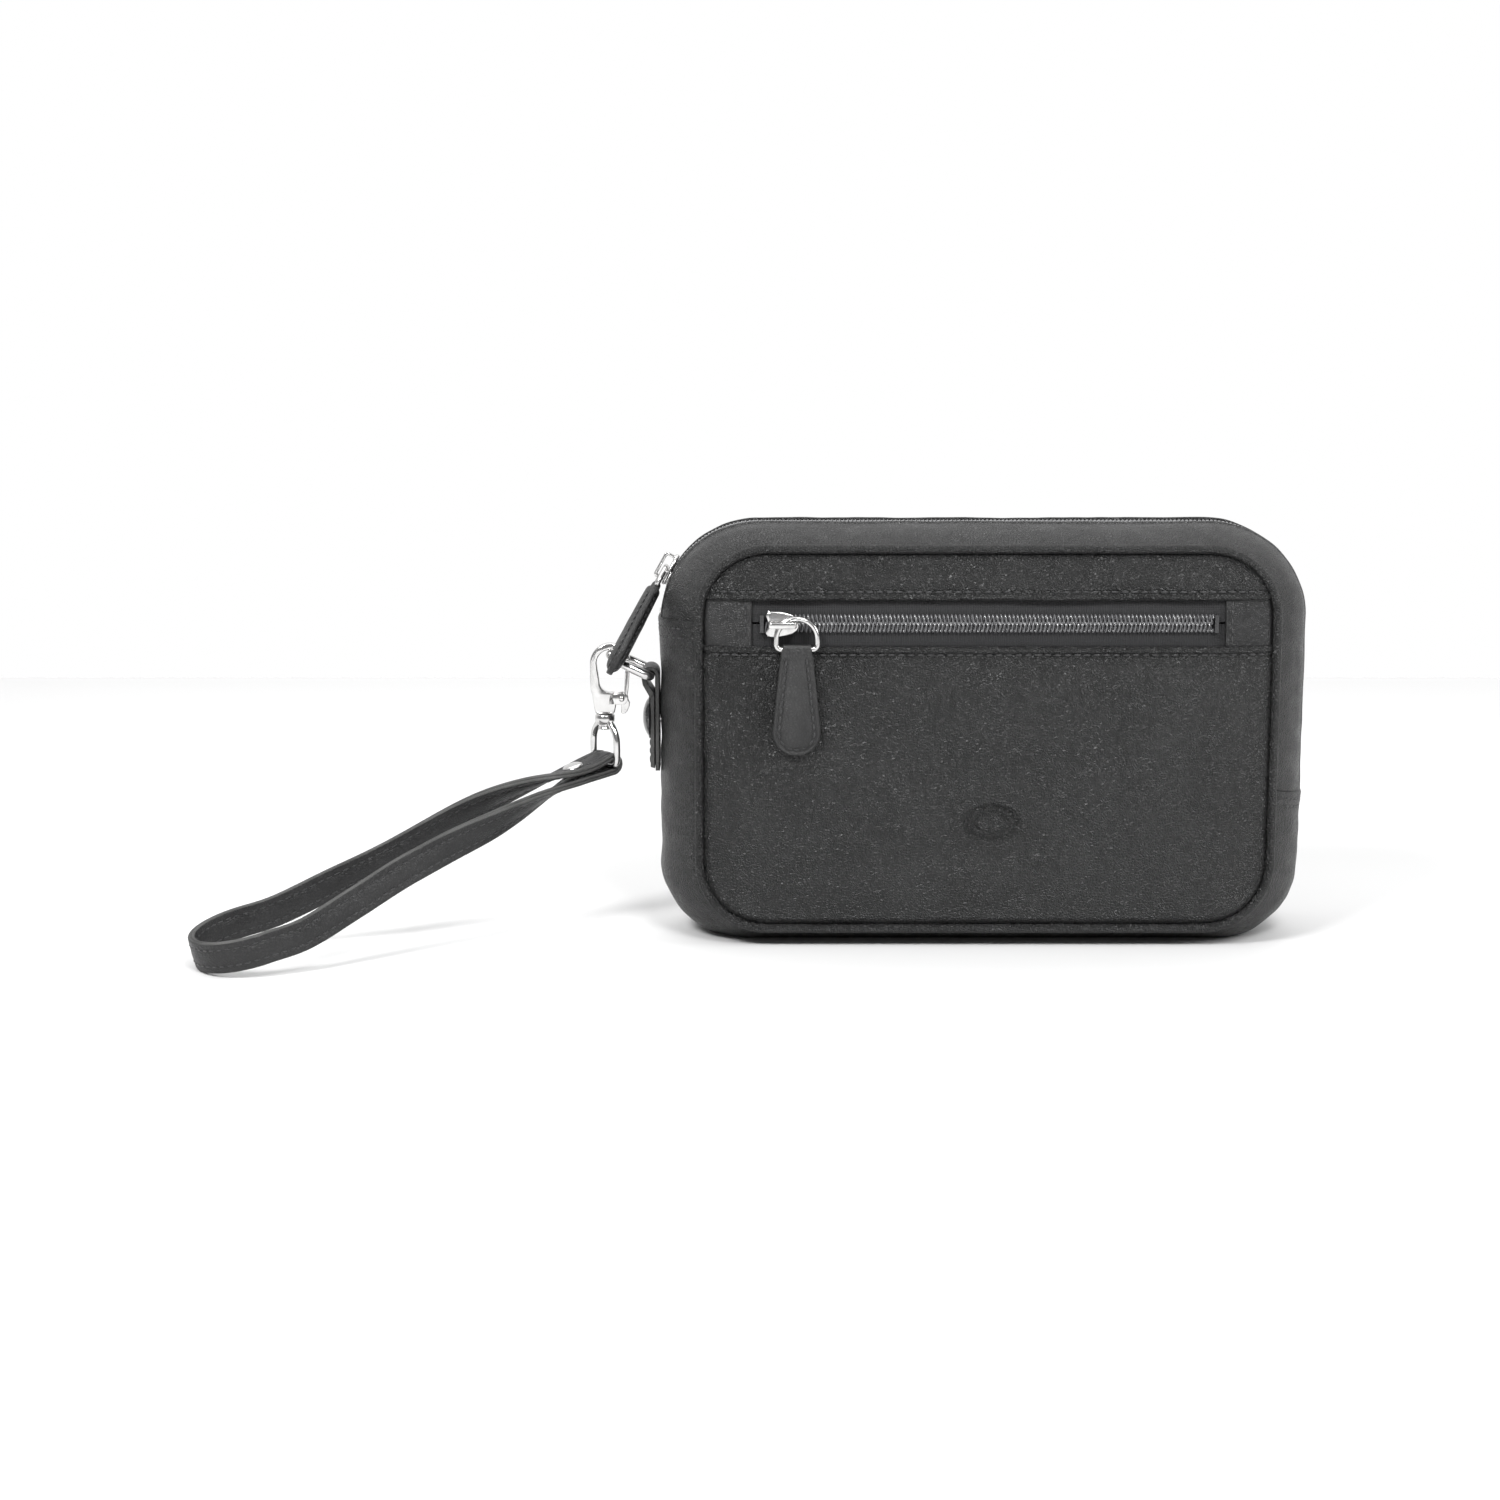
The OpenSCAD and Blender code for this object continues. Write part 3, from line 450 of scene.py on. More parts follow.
class Sketch:
    """One piece being built, in millimetres."""

    def __init__(self, name: str) -> None:
        """Starts an empty mesh.

        Args:
            name: Name of the finished piece.
        """
        self.name = name
        self.bm = bmesh.new()

    def sheet(self, us: Sequence[float], vs: Sequence[float], surface: Surface) -> list[bmesh.types.BMFace]:
        """Adds a grid that follows a surface.

        Args:
            us: First parameter values.
            vs: Second parameter values.
            surface: Point for each pair of parameters.

        Returns:
            The new faces.
        """
        nu, nv = len(us) - 1, len(vs) - 1
        made = bmesh.ops.create_grid(self.bm, x_segments=nu, y_segments=nv, size=0.5)["verts"]
        for v in made:
            v.co = surface(us[round((v.co.x + 0.5) * nu)], vs[round((v.co.y + 0.5) * nv)])
        return list({f for v in made for f in v.link_faces})

    def skin(self, us: Sequence[float], vs: Sequence[float], outer: Surface, inner: Surface) -> None:
        """Adds a closed sheet between two surfaces.

        Args:
            us: First parameter values.
            vs: Second parameter values.
            outer: Outside surface.
            inner: Inside surface.
        """
        rims = []
        for surface in (outer, inner):
            faces = self.sheet(us, vs, surface)
            rims += [e for e in {e for f in faces for e in f.edges} if e.is_boundary]
        bmesh.ops.bridge_loops(self.bm, edges=rims)

    def sweep(self, sections: Sequence[Sequence[Vector]], closed: bool) -> None:
        """Joins loops of equal length into a tube.

        Args:
            sections: Loops of points.
            closed: True joins the last loop to the first; otherwise both ends are capped.
        """
        loops = [[self.bm.verts.new(p) for p in s] for s in sections]
        pairs = list(zip(loops, loops[1:])) + ([(loops[-1], loops[0])] if closed else [])
        n = len(loops[0])
        for a, b in pairs:
            for k in range(n):
                self.bm.faces.new((a[k], a[(k + 1) % n], b[(k + 1) % n], b[k]))
        if not closed:
            self.bm.faces.new(list(reversed(loops[0])))
            self.bm.faces.new(loops[-1])

    def tube(self, path: Sequence[Vector], radius: float, sides: int = 10, closed: bool = False,
             swell: Callable[[float], float] | None = None) -> None:
        """Adds a round tube along a path.

        Args:
            path: Points of the centre line.
            radius: Radius of the tube.
            sides: Points round it.
            closed: True where the path is a loop.
            swell: Factor on the radius by share of the path.
        """
        count = len(path)
        across = None
        sections = []
        for i, p in enumerate(path):
            ahead = path[(i + 1) % count] if closed else path[min(i + 1, count - 1)]
            behind = path[i - 1] if closed or i else path[0]
            along = (ahead - behind).normalized()
            across = along.orthogonal() if across is None else across - along * across.dot(along)
            across.normalize()
            other = along.cross(across)
            r = radius * (swell(i / count) if swell else 1.0)
            sections.append([p + r * (math.cos(t) * across + math.sin(t) * other)
                             for t in (2 * math.pi * k / sides for k in range(sides))])
        self.sweep(sections, closed)

    def prism(self, outline: Sequence[tuple[float, float]], low: float, high: float, place: Matrix,
              bevel: float, segments: int = 3) -> None:
        """Adds an outline pulled up into a plate with rounded edges.

        Args:
            outline: Points in the plate's own XY plane.
            low: Lower face.
            high: Upper face.
            place: Matrix from the plate's frame, in mm.
            bevel: Radius of its edges.
            segments: Steps of each rounded edge.
        """
        part = bmesh.new()
        base = part.faces.new([part.verts.new((x, y, low)) for x, y in outline])
        grown = bmesh.ops.extrude_face_region(part, geom=[base])["geom"]
        raised = [g for g in grown if isinstance(g, bmesh.types.BMVert)]
        bmesh.ops.translate(part, vec=(0, 0, high - low), verts=raised)
        bmesh.ops.recalc_face_normals(part, faces=part.faces)
        if bevel:
            rims = [e for e in part.edges if abs(e.verts[0].co.z - e.verts[1].co.z) < 1e-6]
            bmesh.ops.bevel(part, geom=rims, offset=bevel, segments=segments, profile=0.5, affect="EDGES",
                            material=-1)
        self.take(part, place)

    def lathe(self, profile: Sequence[tuple[float, float]], place: Matrix, steps: int = 32) -> None:
        """Spins a profile about its own Z axis.

        Args:
            profile: Radius and height pairs.
            place: Matrix from the lathe's frame, in mm.
            steps: Steps round it.
        """
        part = bmesh.new()
        verts = [part.verts.new((max(r, 0.0), 0, z)) for r, z in profile]
        edges = [part.edges.new(p) for p in zip(verts, verts[1:])]
        bmesh.ops.spin(part, geom=verts + edges, cent=(0, 0, 0), axis=(0, 0, 1), angle=2 * math.pi,
                       steps=steps, use_merge=True)
        bmesh.ops.remove_doubles(part, verts=part.verts, dist=1e-4)
        bmesh.ops.recalc_face_normals(part, faces=part.faces)
        self.take(part, place)

    def take(self, part: bmesh.types.BMesh, place: Matrix) -> None:
        """Moves another mesh into this one.

        Args:
            part: Mesh to add; it is freed.
            place: Matrix from its frame, in mm.
        """
        bmesh.ops.transform(part, matrix=place, verts=part.verts)
        data = bpy.data.meshes.new("part")
        part.to_mesh(data)
        part.free()
        self.bm.from_mesh(data)
        bpy.data.meshes.remove(data)

    def stitches(self, path: Sequence[Vector], outward: Callable[[Vector], Vector], pitch: float = 3.0,
                 length: float = 2.3, width: float = 0.34) -> None:
        """Adds a row of thread stitches on a path.

        Args:
            path: Points on the surface, close together.
            outward: Direction out of the surface at a point.
            pitch: Distance from stitch to stitch.
            length: Length of a stitch.
            width: Half thickness of the thread.
        """
        walked, due = 0.0, pitch / 2
        for a, b in zip(path, path[1:]):
            step = (b - a).length
            while due <= walked + step and step > 0:
                p = a.lerp(b, (due - walked) / step)
                along = (b - a).normalized()
                up = outward(p)
                up = (up - along * up.dot(along)).normalized()
                turn = Matrix((along, up.cross(along), up)).transposed().to_4x4()
                size = Matrix.Diagonal((length / 2, width, width * 0.8, 1.0))
                bmesh.ops.create_uvsphere(self.bm, u_segments=7, v_segments=5, radius=1.0,
                                          matrix=Matrix.Translation(p + up * width * 0.15) @ turn @ size)
                due += pitch
            walked += step

    def finish(self, look: Finish, body: str, replaces: Sequence[str] = (), smooth: bool = True,
               face_out: bool = True) -> bpy.types.Object:
        """Makes the object: metres, outward normals, material and body.

        Args:
            look: Finish of the piece.
            body: CAD body that it rides on, or empty to leave it unattached.
            replaces: CAD nodes that it stands for.
            smooth: True for smooth shading.
            face_out: True where the normals still have to be turned outwards.

        Returns:
            The object.
        """
        if face_out:
            bmesh.ops.recalc_face_normals(self.bm, faces=self.bm.faces)
        bmesh.ops.scale(self.bm, vec=(MM, MM, MM), verts=self.bm.verts)
        data = bpy.data.meshes.new(self.name)
        self.bm.to_mesh(data)
        self.bm.free()
        for face in data.polygons:
            face.use_smooth = smooth
        data.set_sharp_from_angle(angle=SHARP_ANGLE)
        made = bpy.data.objects.new(self.name, data)
        bpy.context.scene.collection.objects.link(made)
        data.materials.append(look.material())
        if body:
            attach(made, body)
        if replaces:
            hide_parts(*replaces)
        log.info("%s: %d faces, %s", self.name, len(data.polygons), look.name)
        return made


# ------------------------------------------------------------------ form of the bag
@dataclass(frozen=True)
class BagForm:
    """Sizes of the bag and the surfaces that its layers follow, in millimetres."""

    half: float = 92.0
    low: float = 6.0
    high: float = 129.0
    corner: float = 22.0
    depth: float = 27.0
    mid_half: float = 105.0
    mid_high: float = 136.0
    mid_r: float = 32.0
    low_r: float = 26.0
    crown: float = 4.0
    window_low: float = 98.5
    window_high: float = 113.0
    zip_z: float = 105.75
    zip_half: float = 5.5

    def rise(self, x: float, z: float) -> float:
        """Gives the share of the crown at a point of a face.

        Args:
            x: Position along the bag.
            z: Height.

        Returns:
            Share from 0 to 1.
        """
        across = 1 - min(1.0, abs(x) / self.half) ** 10
        return across * (1 - min(1.0, abs(z - (self.low + self.high) / 2) * 2 / (self.high - self.low)) ** 3)

    def half_at(self, z: float, inset: float) -> float:
        """Gives the half width of a face at a height.

        Args:
            z: Height.
            inset: Distance in from the seam.

        Returns:
            The half width.
        """
        r = self.corner - inset
        dz = max(0.0, z - (self.high - self.corner), self.low + self.corner - z)
        return self.half - self.corner + math.sqrt(max(0.0, r * r - dz * dz))

    def seam_distance(self, x: float, z: float) -> float:
        """Gives the distance in from the seam outline.

        Args:
            x: Position along the bag.
            z: Height.

        Returns:
            The distance, positive inside.
        """
        dx = max(0.0, abs(x) - (self.half - self.corner))
        dz = max(0.0, z - (self.high - self.corner), self.low + self.corner - z)
        return self.corner - math.hypot(dx, dz)

    def seam_point(self, s: float, inset: float = 0.0) -> tuple[float, float]:
        """Gives a point on the seam outline.

        Args:
            s: Share of the way round, from the middle of the bottom towards +X.
            inset: Distance in from the outline.

        Returns:
            X and Z.
        """
        r = self.corner - inset
        flat, tall = 2 * (self.half - self.corner), self.high - self.low - 2 * self.corner
        arc = math.pi * self.corner / 2
        total = 2 * flat + 2 * tall + 4 * arc
        d = (s % 1.0) * total
        cx, zl, zh = self.half - self.corner, self.low + self.corner, self.high - self.corner
        runs = [(flat / 2, lambda t: (t, zl - r)), (arc, lambda t: self._arc(cx, zl, r, -90, t)),
                (tall, lambda t: (cx + r, zl + t)), (arc, lambda t: self._arc(cx, zh, r, 0, t)),
                (flat, lambda t: (cx - t, zh + r)), (arc, lambda t: self._arc(-cx, zh, r, 90, t)),
                (tall, lambda t: (-cx - r, zh - t)), (arc, lambda t: self._arc(-cx, zl, r, 180, t)),
                (flat / 2, lambda t: (-cx + t, zl - r))]
        for length, place in runs:
            if d <= length:
                return place(d)
            d -= length
        return (0.0, zl - r)

    def _arc(self, cx: float, cz: float, r: float, start: float, t: float) -> tuple[float, float]:
        """Gives a point on a corner of the outline.

        Args:
            cx: Centre's X.
            cz: Centre's Z.
            r: Radius.
            start: First angle in degrees.
            t: Length walked on the seam's own radius.

        Returns:
            X and Z.
        """
        a = math.radians(start) + t / self.corner
        return cx + r * math.cos(a), cz + r * math.sin(a)

    def face(self, side: Side, x: float, z: float, off: float) -> Vector:
        """Gives a point on a layer of the front or back.

        Args:
            side: Front or back.
            x: Position along the bag.
            z: Height.
            off: Distance in from the outside.

        Returns:
            The point.
        """
        return Vector((x, side.value * (self.depth + 0.7 + self.crown * self.rise(x, z) - off), z))

    def puff(self, x: float, z: float) -> float:
        """Gives how far the pouch stands off the panel.

        Args:
            x: Position along the bag.
            z: Height.

        Returns:
            Share from 0 to 1.
        """
        return (1 - min(1.0, abs(x) / 86) ** 6) * (1 - min(1.0, abs(z - 66) / 56) ** 6)

    def around(self, s: float, y: float, off: float) -> Vector:
        """Gives a point on the gusset.

        Args:
            s: Place along it: 0 is the left end at height 104, growing down, under and up the right end.
            y: Depth.
            off: Distance in from the outside.

        Returns:
            The point.
        """
        a = self._station(s)
        b = 1 - min(1.0, abs(y) / self.depth) ** 2.4
        outer = [a[0][i] + a[2][i] * (a[4] - off) for i in (0, 1)]
        middle = [a[1][i] + a[3][i] * (a[5] - off) for i in (0, 1)]
        p = [outer[i] + (middle[i] - outer[i]) * b for i in (0, 1)]
        return Vector((p[0], y, max(p[1], off)))

    def _station(self, s: float) -> tuple:
        """Gives the centres, directions and radii at a place along the gusset.

        Args:
            s: Place as in around(): left side 0 to 1, left corner 1 to 2, base 2 to 3, right corner 3 to 4,
                right side 4 to 5, upper right corner 5 to 6, upper left corner -1 to 0, top beyond both.

        Returns:
            Two centres, two directions and two radii.
        """
        cx, mx, lx = self.half - self.corner, self.mid_half - self.mid_r, self.mid_half - self.low_r
        tz, mz = self.high - self.corner, self.mid_high - self.mid_r
        lz, dz = self.low + self.corner, self.low_r - 2.0
        if s < -1 or s > 6:
            x = -cx - (s + 1) * 2 * cx if s < -1 else cx - (s - 6) * 2 * cx
            mid_x = max(-mx, min(mx, x * mx / cx))
            return (x, tz), (mid_x, mz), (0, 1), (0, 1), self.corner, self.mid_r
        if s < 0 or s > 5:
            sign, f = (-1, -s) if s < 0 else (1, s - 5)
            a, b = math.radians(90 * f), math.radians(5 + 85 * f)
            return ((sign * cx, tz), (sign * mx, mz), (sign * math.cos(a), math.sin(a)),
                    (sign * math.cos(b), math.sin(b)), self.corner, self.mid_r)
        if s <= 1 or s >= 4:
            sign, f = (-1, s) if s <= 1 else (1, 5 - s)
            z = tz + (lz - tz) * f
            zm = mz + (dz - mz) * f
            zo = max(lz, min(tz, z))
            tilt = max(0.0, 1 - f / 0.12) * math.radians(5) if f < 0.12 else 0.0
            return ((sign * cx, zo), (sign * mx, zm), (sign, 0),
                    (sign * math.cos(tilt), math.sin(tilt)), self.corner, self.mid_r)
        if s < 2 or s > 3:
            sign, f = (-1, s - 1) if s < 2 else (1, 4 - s)
            a = math.radians(90 * f)
            d = (sign * math.cos(a), -math.sin(a))
            return (sign * cx, lz), (sign * lx, dz), d, d, self.corner, self.low_r
        x = -cx + (s - 2) * 2 * cx
        return (x, lz), (x * lx / cx, dz), (0, -1), (0, -1), self.corner, self.low_r


FORM = BagForm()
RUN_LENGTHS = {-2: 140.0, -1: 50.0, 0: 80.0, 1: 42.0, 2: 152.0, 3: 42.0, 4: 80.0, 5: 50.0, 6: 140.0}


def walk(s: float) -> float:
    """Gives the length walked along the gusset's path to a place.

    Args:
        s: Place as in BagForm.around.

    Returns:
        Length in mm, 0 at the left end.
    """
    total, k = 0.0, 0
    if s < 0:
        while s < k:
            k -= 1
            total -= RUN_LENGTHS[max(k, -2)] * min(1.0, k + 1 - s)
        return total
    while s > k:
        total += RUN_LENGTHS[min(k, 6)] * min(1.0, s - k)
        k += 1
    return total


def places(a: float, b: float, step: float, fine: float = 0.0, band: float = 0.0) -> list[float]:
    """Gives places along the gusset's path at even lengths.

    Args:
        a: First place.
        b: Last place.
        step: Spacing in mm.
        fine: Spacing in the end bands in mm.
        band: Width of the end bands in mm.

    Returns:
        The places.
    """
    found = []
    for length in graded(walk(a), walk(b), step, fine, band):
        low, high = a, b
        for _ in range(40):
            middle = (low + high) / 2
            low, high = (middle, high) if walk(middle) < length else (low, middle)
        found.append((low + high) / 2)
    return found


def strip_off(y: float, x: float, z: float, seed: float) -> float:
    """Gives the inset of a leather strip's surface beside the zip.

    Args:
        y: Distance from the zip's middle.
        x: Position along the bag.
        z: Height.
        seed: Pattern shift.

    Returns:
        Inset from the plain surface.
    """
    d, seam = y - FORM.zip_half, 26.3 - y
    off = curl(d, 0.7) - 0.30 * dent(d - 1.2, 1.0) + 0.26 * dent(d - 2.6, 0.5) + curl(seam, 1.2) * 0.8
    return off - 0.32 * soft(x, y * 0.5, z, 17.0, seed) - 0.12 * soft(x, y, z, 6.0, seed + 3)


@dataclass
class Shell:
    """Leather panels, gusset, strips, piping and their stitching."""

    seam_inset: float = 0.9
    thick: float = 1.3

    def build(self) -> None:
        """Builds every fixed leather piece."""
        self._panel("back_leather", Side.BACK, FORM.low + 1, FORM.high - 1, "back_panel", 0.0)
        self._panel("front_upper_leather", Side.FRONT, FORM.window_high, FORM.high - 1,
                    "front_upper_panel", 1.0)
        self._panel("front_pocket_leather", Side.FRONT, FORM.low + 1, FORM.window_low,
                    "front_pocket_panel", -1.0)
        for end in End:
            self._patch(end)
            for side in Side:
                self._corner(end, side)
        self._gusset()
        for side in Side:
            self._piping(side)
        self._window_stitches()

    def _panel(self, name: str, side: Side, z0: float, z1: float, node: str, window: float) -> None:
        """Builds a crowned panel.

        Args:
            name: Name of the piece.
            side: Front or back.
            z0: Lower edge.
            z1: Upper edge.
            node: CAD node that it stands for.
            window: 1 if its lower edge borders the window, -1 if its upper edge does, else 0.
        """
        seed = 3.1 + side.value + window

        def place(u: float, z: float, deep: float) -> Vector:
            """Gives a point of the panel: its outside where deep is 0."""
            half = FORM.half_at(z, self.seam_inset)
            x = u * half
            seam = FORM.seam_distance(x, z) - self.seam_inset
            off = 1.5 * dent(seam, 1.3) - 0.30 * dent(seam - 3.0, 1.8)
            edge = abs(z - (z0 if window > 0 else z1)) if window else 99.0
            off += curl(edge, 0.6) - 0.50 * dent(edge - 1.2, 1.0) + 0.45 * dent(edge - 2.7, 0.55)
            quiet = min(1.0, seam / 12.0)
            off -= quiet * (0.55 * soft(x, 0, z, 42.0, seed) + 0.22 * soft(x, 0, z * 1.6, 14.0, seed + 5))
            off -= 0.07 * soft(x, 0, z, 4.5, seed + 9)
            if window < 0:
                ring = math.hypot((x - 1.6) / 8.2, (z - 41.5) / 5.4)
                off += 0.55 * dent((ring - 1.0) * 6.5, 0.8) + 0.40 * dent((ring - 0.66) * 6.5, 0.6)
            wave = 0.22 * soft(x, 0, 0, 9.0, seed + 20) * dent(edge, 2.2) if window else 0.0
            point = FORM.face(side, x, z, off if not deep else deep)
            point.z += wave
            return point

        sketch = Sketch(name)
        us = graded(-1.0, 1.0, 1.15 / 90, 0.4 / 90, 4.0 / 90)
        vs = graded(z0, z1, 1.15, 0.35, 4.2)
        if window < 0:
            us = [u for u in us if abs(u * 90 - 1.6) > 10.5] + graded(-8.9 / 90, 12.1 / 90, 0.34 / 90)
            vs = [z for z in vs if abs(z - 41.5) > 8.0] + graded(33.5, 49.5, 0.34)
            us, vs = sorted(us), sorted(vs)
        sketch.skin(us, vs, lambda u, z: place(u, z, 0.0), lambda u, z: place(u, z, self.thick))
        sketch.finish(SHELL, "bag", [node])

    def _patch(self, end: End) -> None:
        """Builds the recessed patch at one end of the window.

        Args:
            end: Left or right.
        """
        sketch = Sketch(f"window_patch_{end.name.lower()}")

        def place(u: float, z: float, deep: float) -> Vector:
            """Gives a point of the patch at a depth below its outside."""
            x0, x1 = 75.0, FORM.half_at(z, self.seam_inset)
            x = x0 + (x1 - x0) * u
            off = 0.62 + curl(x - x0, 0.5) * 0.7 + 0.18 * dent(x - x0 - 2.2, 0.4) + deep
            off += 1.2 * dent(x1 - x, 1.2) - 0.10 * soft(x, 0, z, 5.0, 8.0)
            return FORM.face(Side.FRONT, end.value * x, z, off)

        sketch.skin(graded(0, 1, 0.05, 0.02, 0.1), graded(FORM.window_low - 0.6, FORM.window_high + 0.6, 0.8),
                    lambda u, z: place(u, z, 0.0), lambda u, z: place(u, z, 0.8))
        sketch.finish(PATCH, "bag", [f"zip_end_patch_{end.name.lower()}"])
        rows = Sketch(f"window_patch_stitches_{end.name.lower()}")
        path = [FORM.face(Side.FRONT, end.value * 77.2, z, 0.72)
                for z in graded(FORM.window_low + 0.8, FORM.window_high - 0.8, 0.5)]
        rows.stitches(path, lambda p: Vector((0, -1, 0)), 2.8, 2.0, 0.28)
        rows.finish(THREAD, "bag", face_out=False)

    def _corner(self, end: End, side: Side) -> None:
        """Builds one leather strip round an upper corner.

        Args:
            end: Left or right.
            side: Front or back.
        """
        s0, s1 = (-1.0, 0.02) if end is End.LEFT else (4.30, 6.0)
        name = f"corner_leather_{side.name.lower()}_{end.name.lower()}"

        def place(s: float, y: float, deep: float) -> Vector:
            """Gives a point of the strip: its outside where deep is 0."""
            flat = FORM.around(s, y, 0.0)
            off = strip_off(y, flat.x, flat.z, 2.0 + side.value) if not deep else deep
            return FORM.around(s, side.value * y, off)

        sketch = Sketch(name)
        sketch.skin(places(s0, s1, 1.3), graded(FORM.zip_half, 26.3, 1.2, 0.35, 3.5),
                    lambda s, y: place(s, y, 0.0), lambda s, y: place(s, y, self.thick))
        node = f"corner_strip_{side.name.lower()}_{end.name.lower()}"
        sketch.finish(SHELL, "bag", [node])
        rows = Sketch(name + "_stitches")
        path = [place(s, FORM.zip_half + 2.6, 0.0) for s in places(s0, s1, 0.6)]
        rows.stitches(path, lambda p: outward(p), 3.0, 2.2, 0.3)
        rows.finish(THREAD, "bag", face_out=False)

    def _gusset(self) -> None:
        """Builds the long strip down the left end, under the base and up the right end."""
        first, last = 0.015, 4.30
        total = walk(last)

        def place(s: float, y: float, deep: float) -> Vector:
            """Gives a point of the gusset: its outside where deep is 0."""
            length = walk(s)
            seam = 26.3 - abs(y)
            end = min(length - walk(first), total - length)
            off = curl(seam, 1.2) * 0.8 + curl(end, 0.8) * 1.2 - 0.75 * dent(max(0.0, end - 1.5), 5.0)
            off += 0.28 * dent(end - 2.4, 0.5) + 0.28 * dent(end - 5.0, 0.5)
            quiet = min(1.0, seam / 8.0)
            if not 2.0 < s < 3.0:
                folds = 0.55 * soft(length * 3.2, y, 0, 36.0, 4.0)
                off -= quiet * (folds + 0.25 * soft(length * 2.0, y, 0, 11.0, 6.0))
            off -= 0.06 * soft(length, y, 0, 4.0, 2.0)
            return FORM.around(s, y, off if not deep else deep)

        sketch = Sketch("gusset_leather")
        sketch.skin(places(first, last, 1.5, 0.4, 6.0), graded(-26.3, 26.3, 1.4, 0.4, 2.4),
                    lambda s, y: place(s, y, 0.0), lambda s, y: place(s, y, self.thick))
        sketch.finish(SHELL, "bag", ["bottom_gusset"])
        rows = Sketch("gusset_end_stitches")
        for near in (2.4, 5.0):
            for base, sign in ((walk(first), 1), (total, -1)):
                target = base + sign * near
                s = self._at(target, first, last)
                path = [place(s, y, 0.0) for y in graded(-22.0, 22.0, 0.6)]
                rows.stitches(path, lambda p: outward(p), 3.0, 2.2, 0.3)
        rows.finish(THREAD, "bag", face_out=False)

    def _at(self, length: float, a: float, b: float) -> float:
        """Finds the place at a length along the gusset.

        Args:
            length: Length in mm.
            a: Lowest place.
            b: Highest place.

        Returns:
            The place.
        """
        for _ in range(40):
            middle = (a + b) / 2
            a, b = (middle, b) if walk(middle) < length else (a, middle)
        return a

    def _piping(self, side: Side) -> None:
        """Builds the rolled piping round one face.

        Args:
            side: Front or back.
        """
        count = 560
        path = []
        for k in range(count):
            x, z = FORM.seam_point(k / count)
            path.append(Vector((x, side.value * (FORM.depth - 0.1), z)))
        sketch = Sketch(f"piping_leather_{side.name.lower()}")
        sketch.tube(path, 1.55, 12, True, lambda t: 1.0 + 0.035 * math.sin(t * 2 * math.pi * 190)
                    + 0.05 * soft(t * 500, 0, 0, 9.0, 1.0))
        sketch.finish(PIPING, "bag", [f"piping_{side.name.lower()}"])

    def _window_stitches(self) -> None:
        """Sews the rows above and below the window."""
        for name, z in (("upper", FORM.window_high + 2.7), ("lower", FORM.window_low - 2.7)):
            half = FORM.half_at(z, 4.0)
            path = [FORM.face(Side.FRONT, x, z, 0.30) for x in graded(-half, half, 0.6)]
            rows = Sketch(f"window_stitches_{name}")
            rows.stitches(path, lambda p: Vector((0, -1, 0)), 3.1, 2.3, 0.42)
            rows.finish(THREAD, "bag", face_out=False)


def outward(p: Vector) -> Vector:
    """Gives the direction out of the gusset or the top near a point.

    Args:
        p: Point in mm.

    Returns:
        Unit direction.
    """
    centre = Vector((max(-70.0, min(70.0, p.x)), p.y, max(32.0, min(104.0, p.z))))
    return (p - centre).normalized() if (p - centre).length > 1e-6 else Vector((0, 0, 1))


def zip_point(sign: float, run: float, y: float, off: float) -> Vector:
    """Gives a point on the main zip, over the top, round a corner and down the end.

    Args:
        sign: Side of the bag, -1 for left.
        run: Length from the middle of the top.
        y: Distance across the zip.
        off: Distance in from the bag's outside.

    Returns:
        The point.
    """
    cx, cz, r = FORM.mid_half - FORM.mid_r, FORM.mid_high - FORM.mid_r, FORM.mid_r
    drop = min(1.0, abs(y) / FORM.depth) ** 2.4
    if run <= cx:
        return Vector((sign * run, y, FORM.mid_high - off - 7.0 * drop))
    a = min(math.pi / 2, (run - cx) / r)
    rest = max(0.0, run - cx - r * math.pi / 2)
    rr = r - off - 9.0 * drop
    return Vector((sign * (cx + rr * math.sin(a)), y, cz + rr * math.cos(a) - rest))


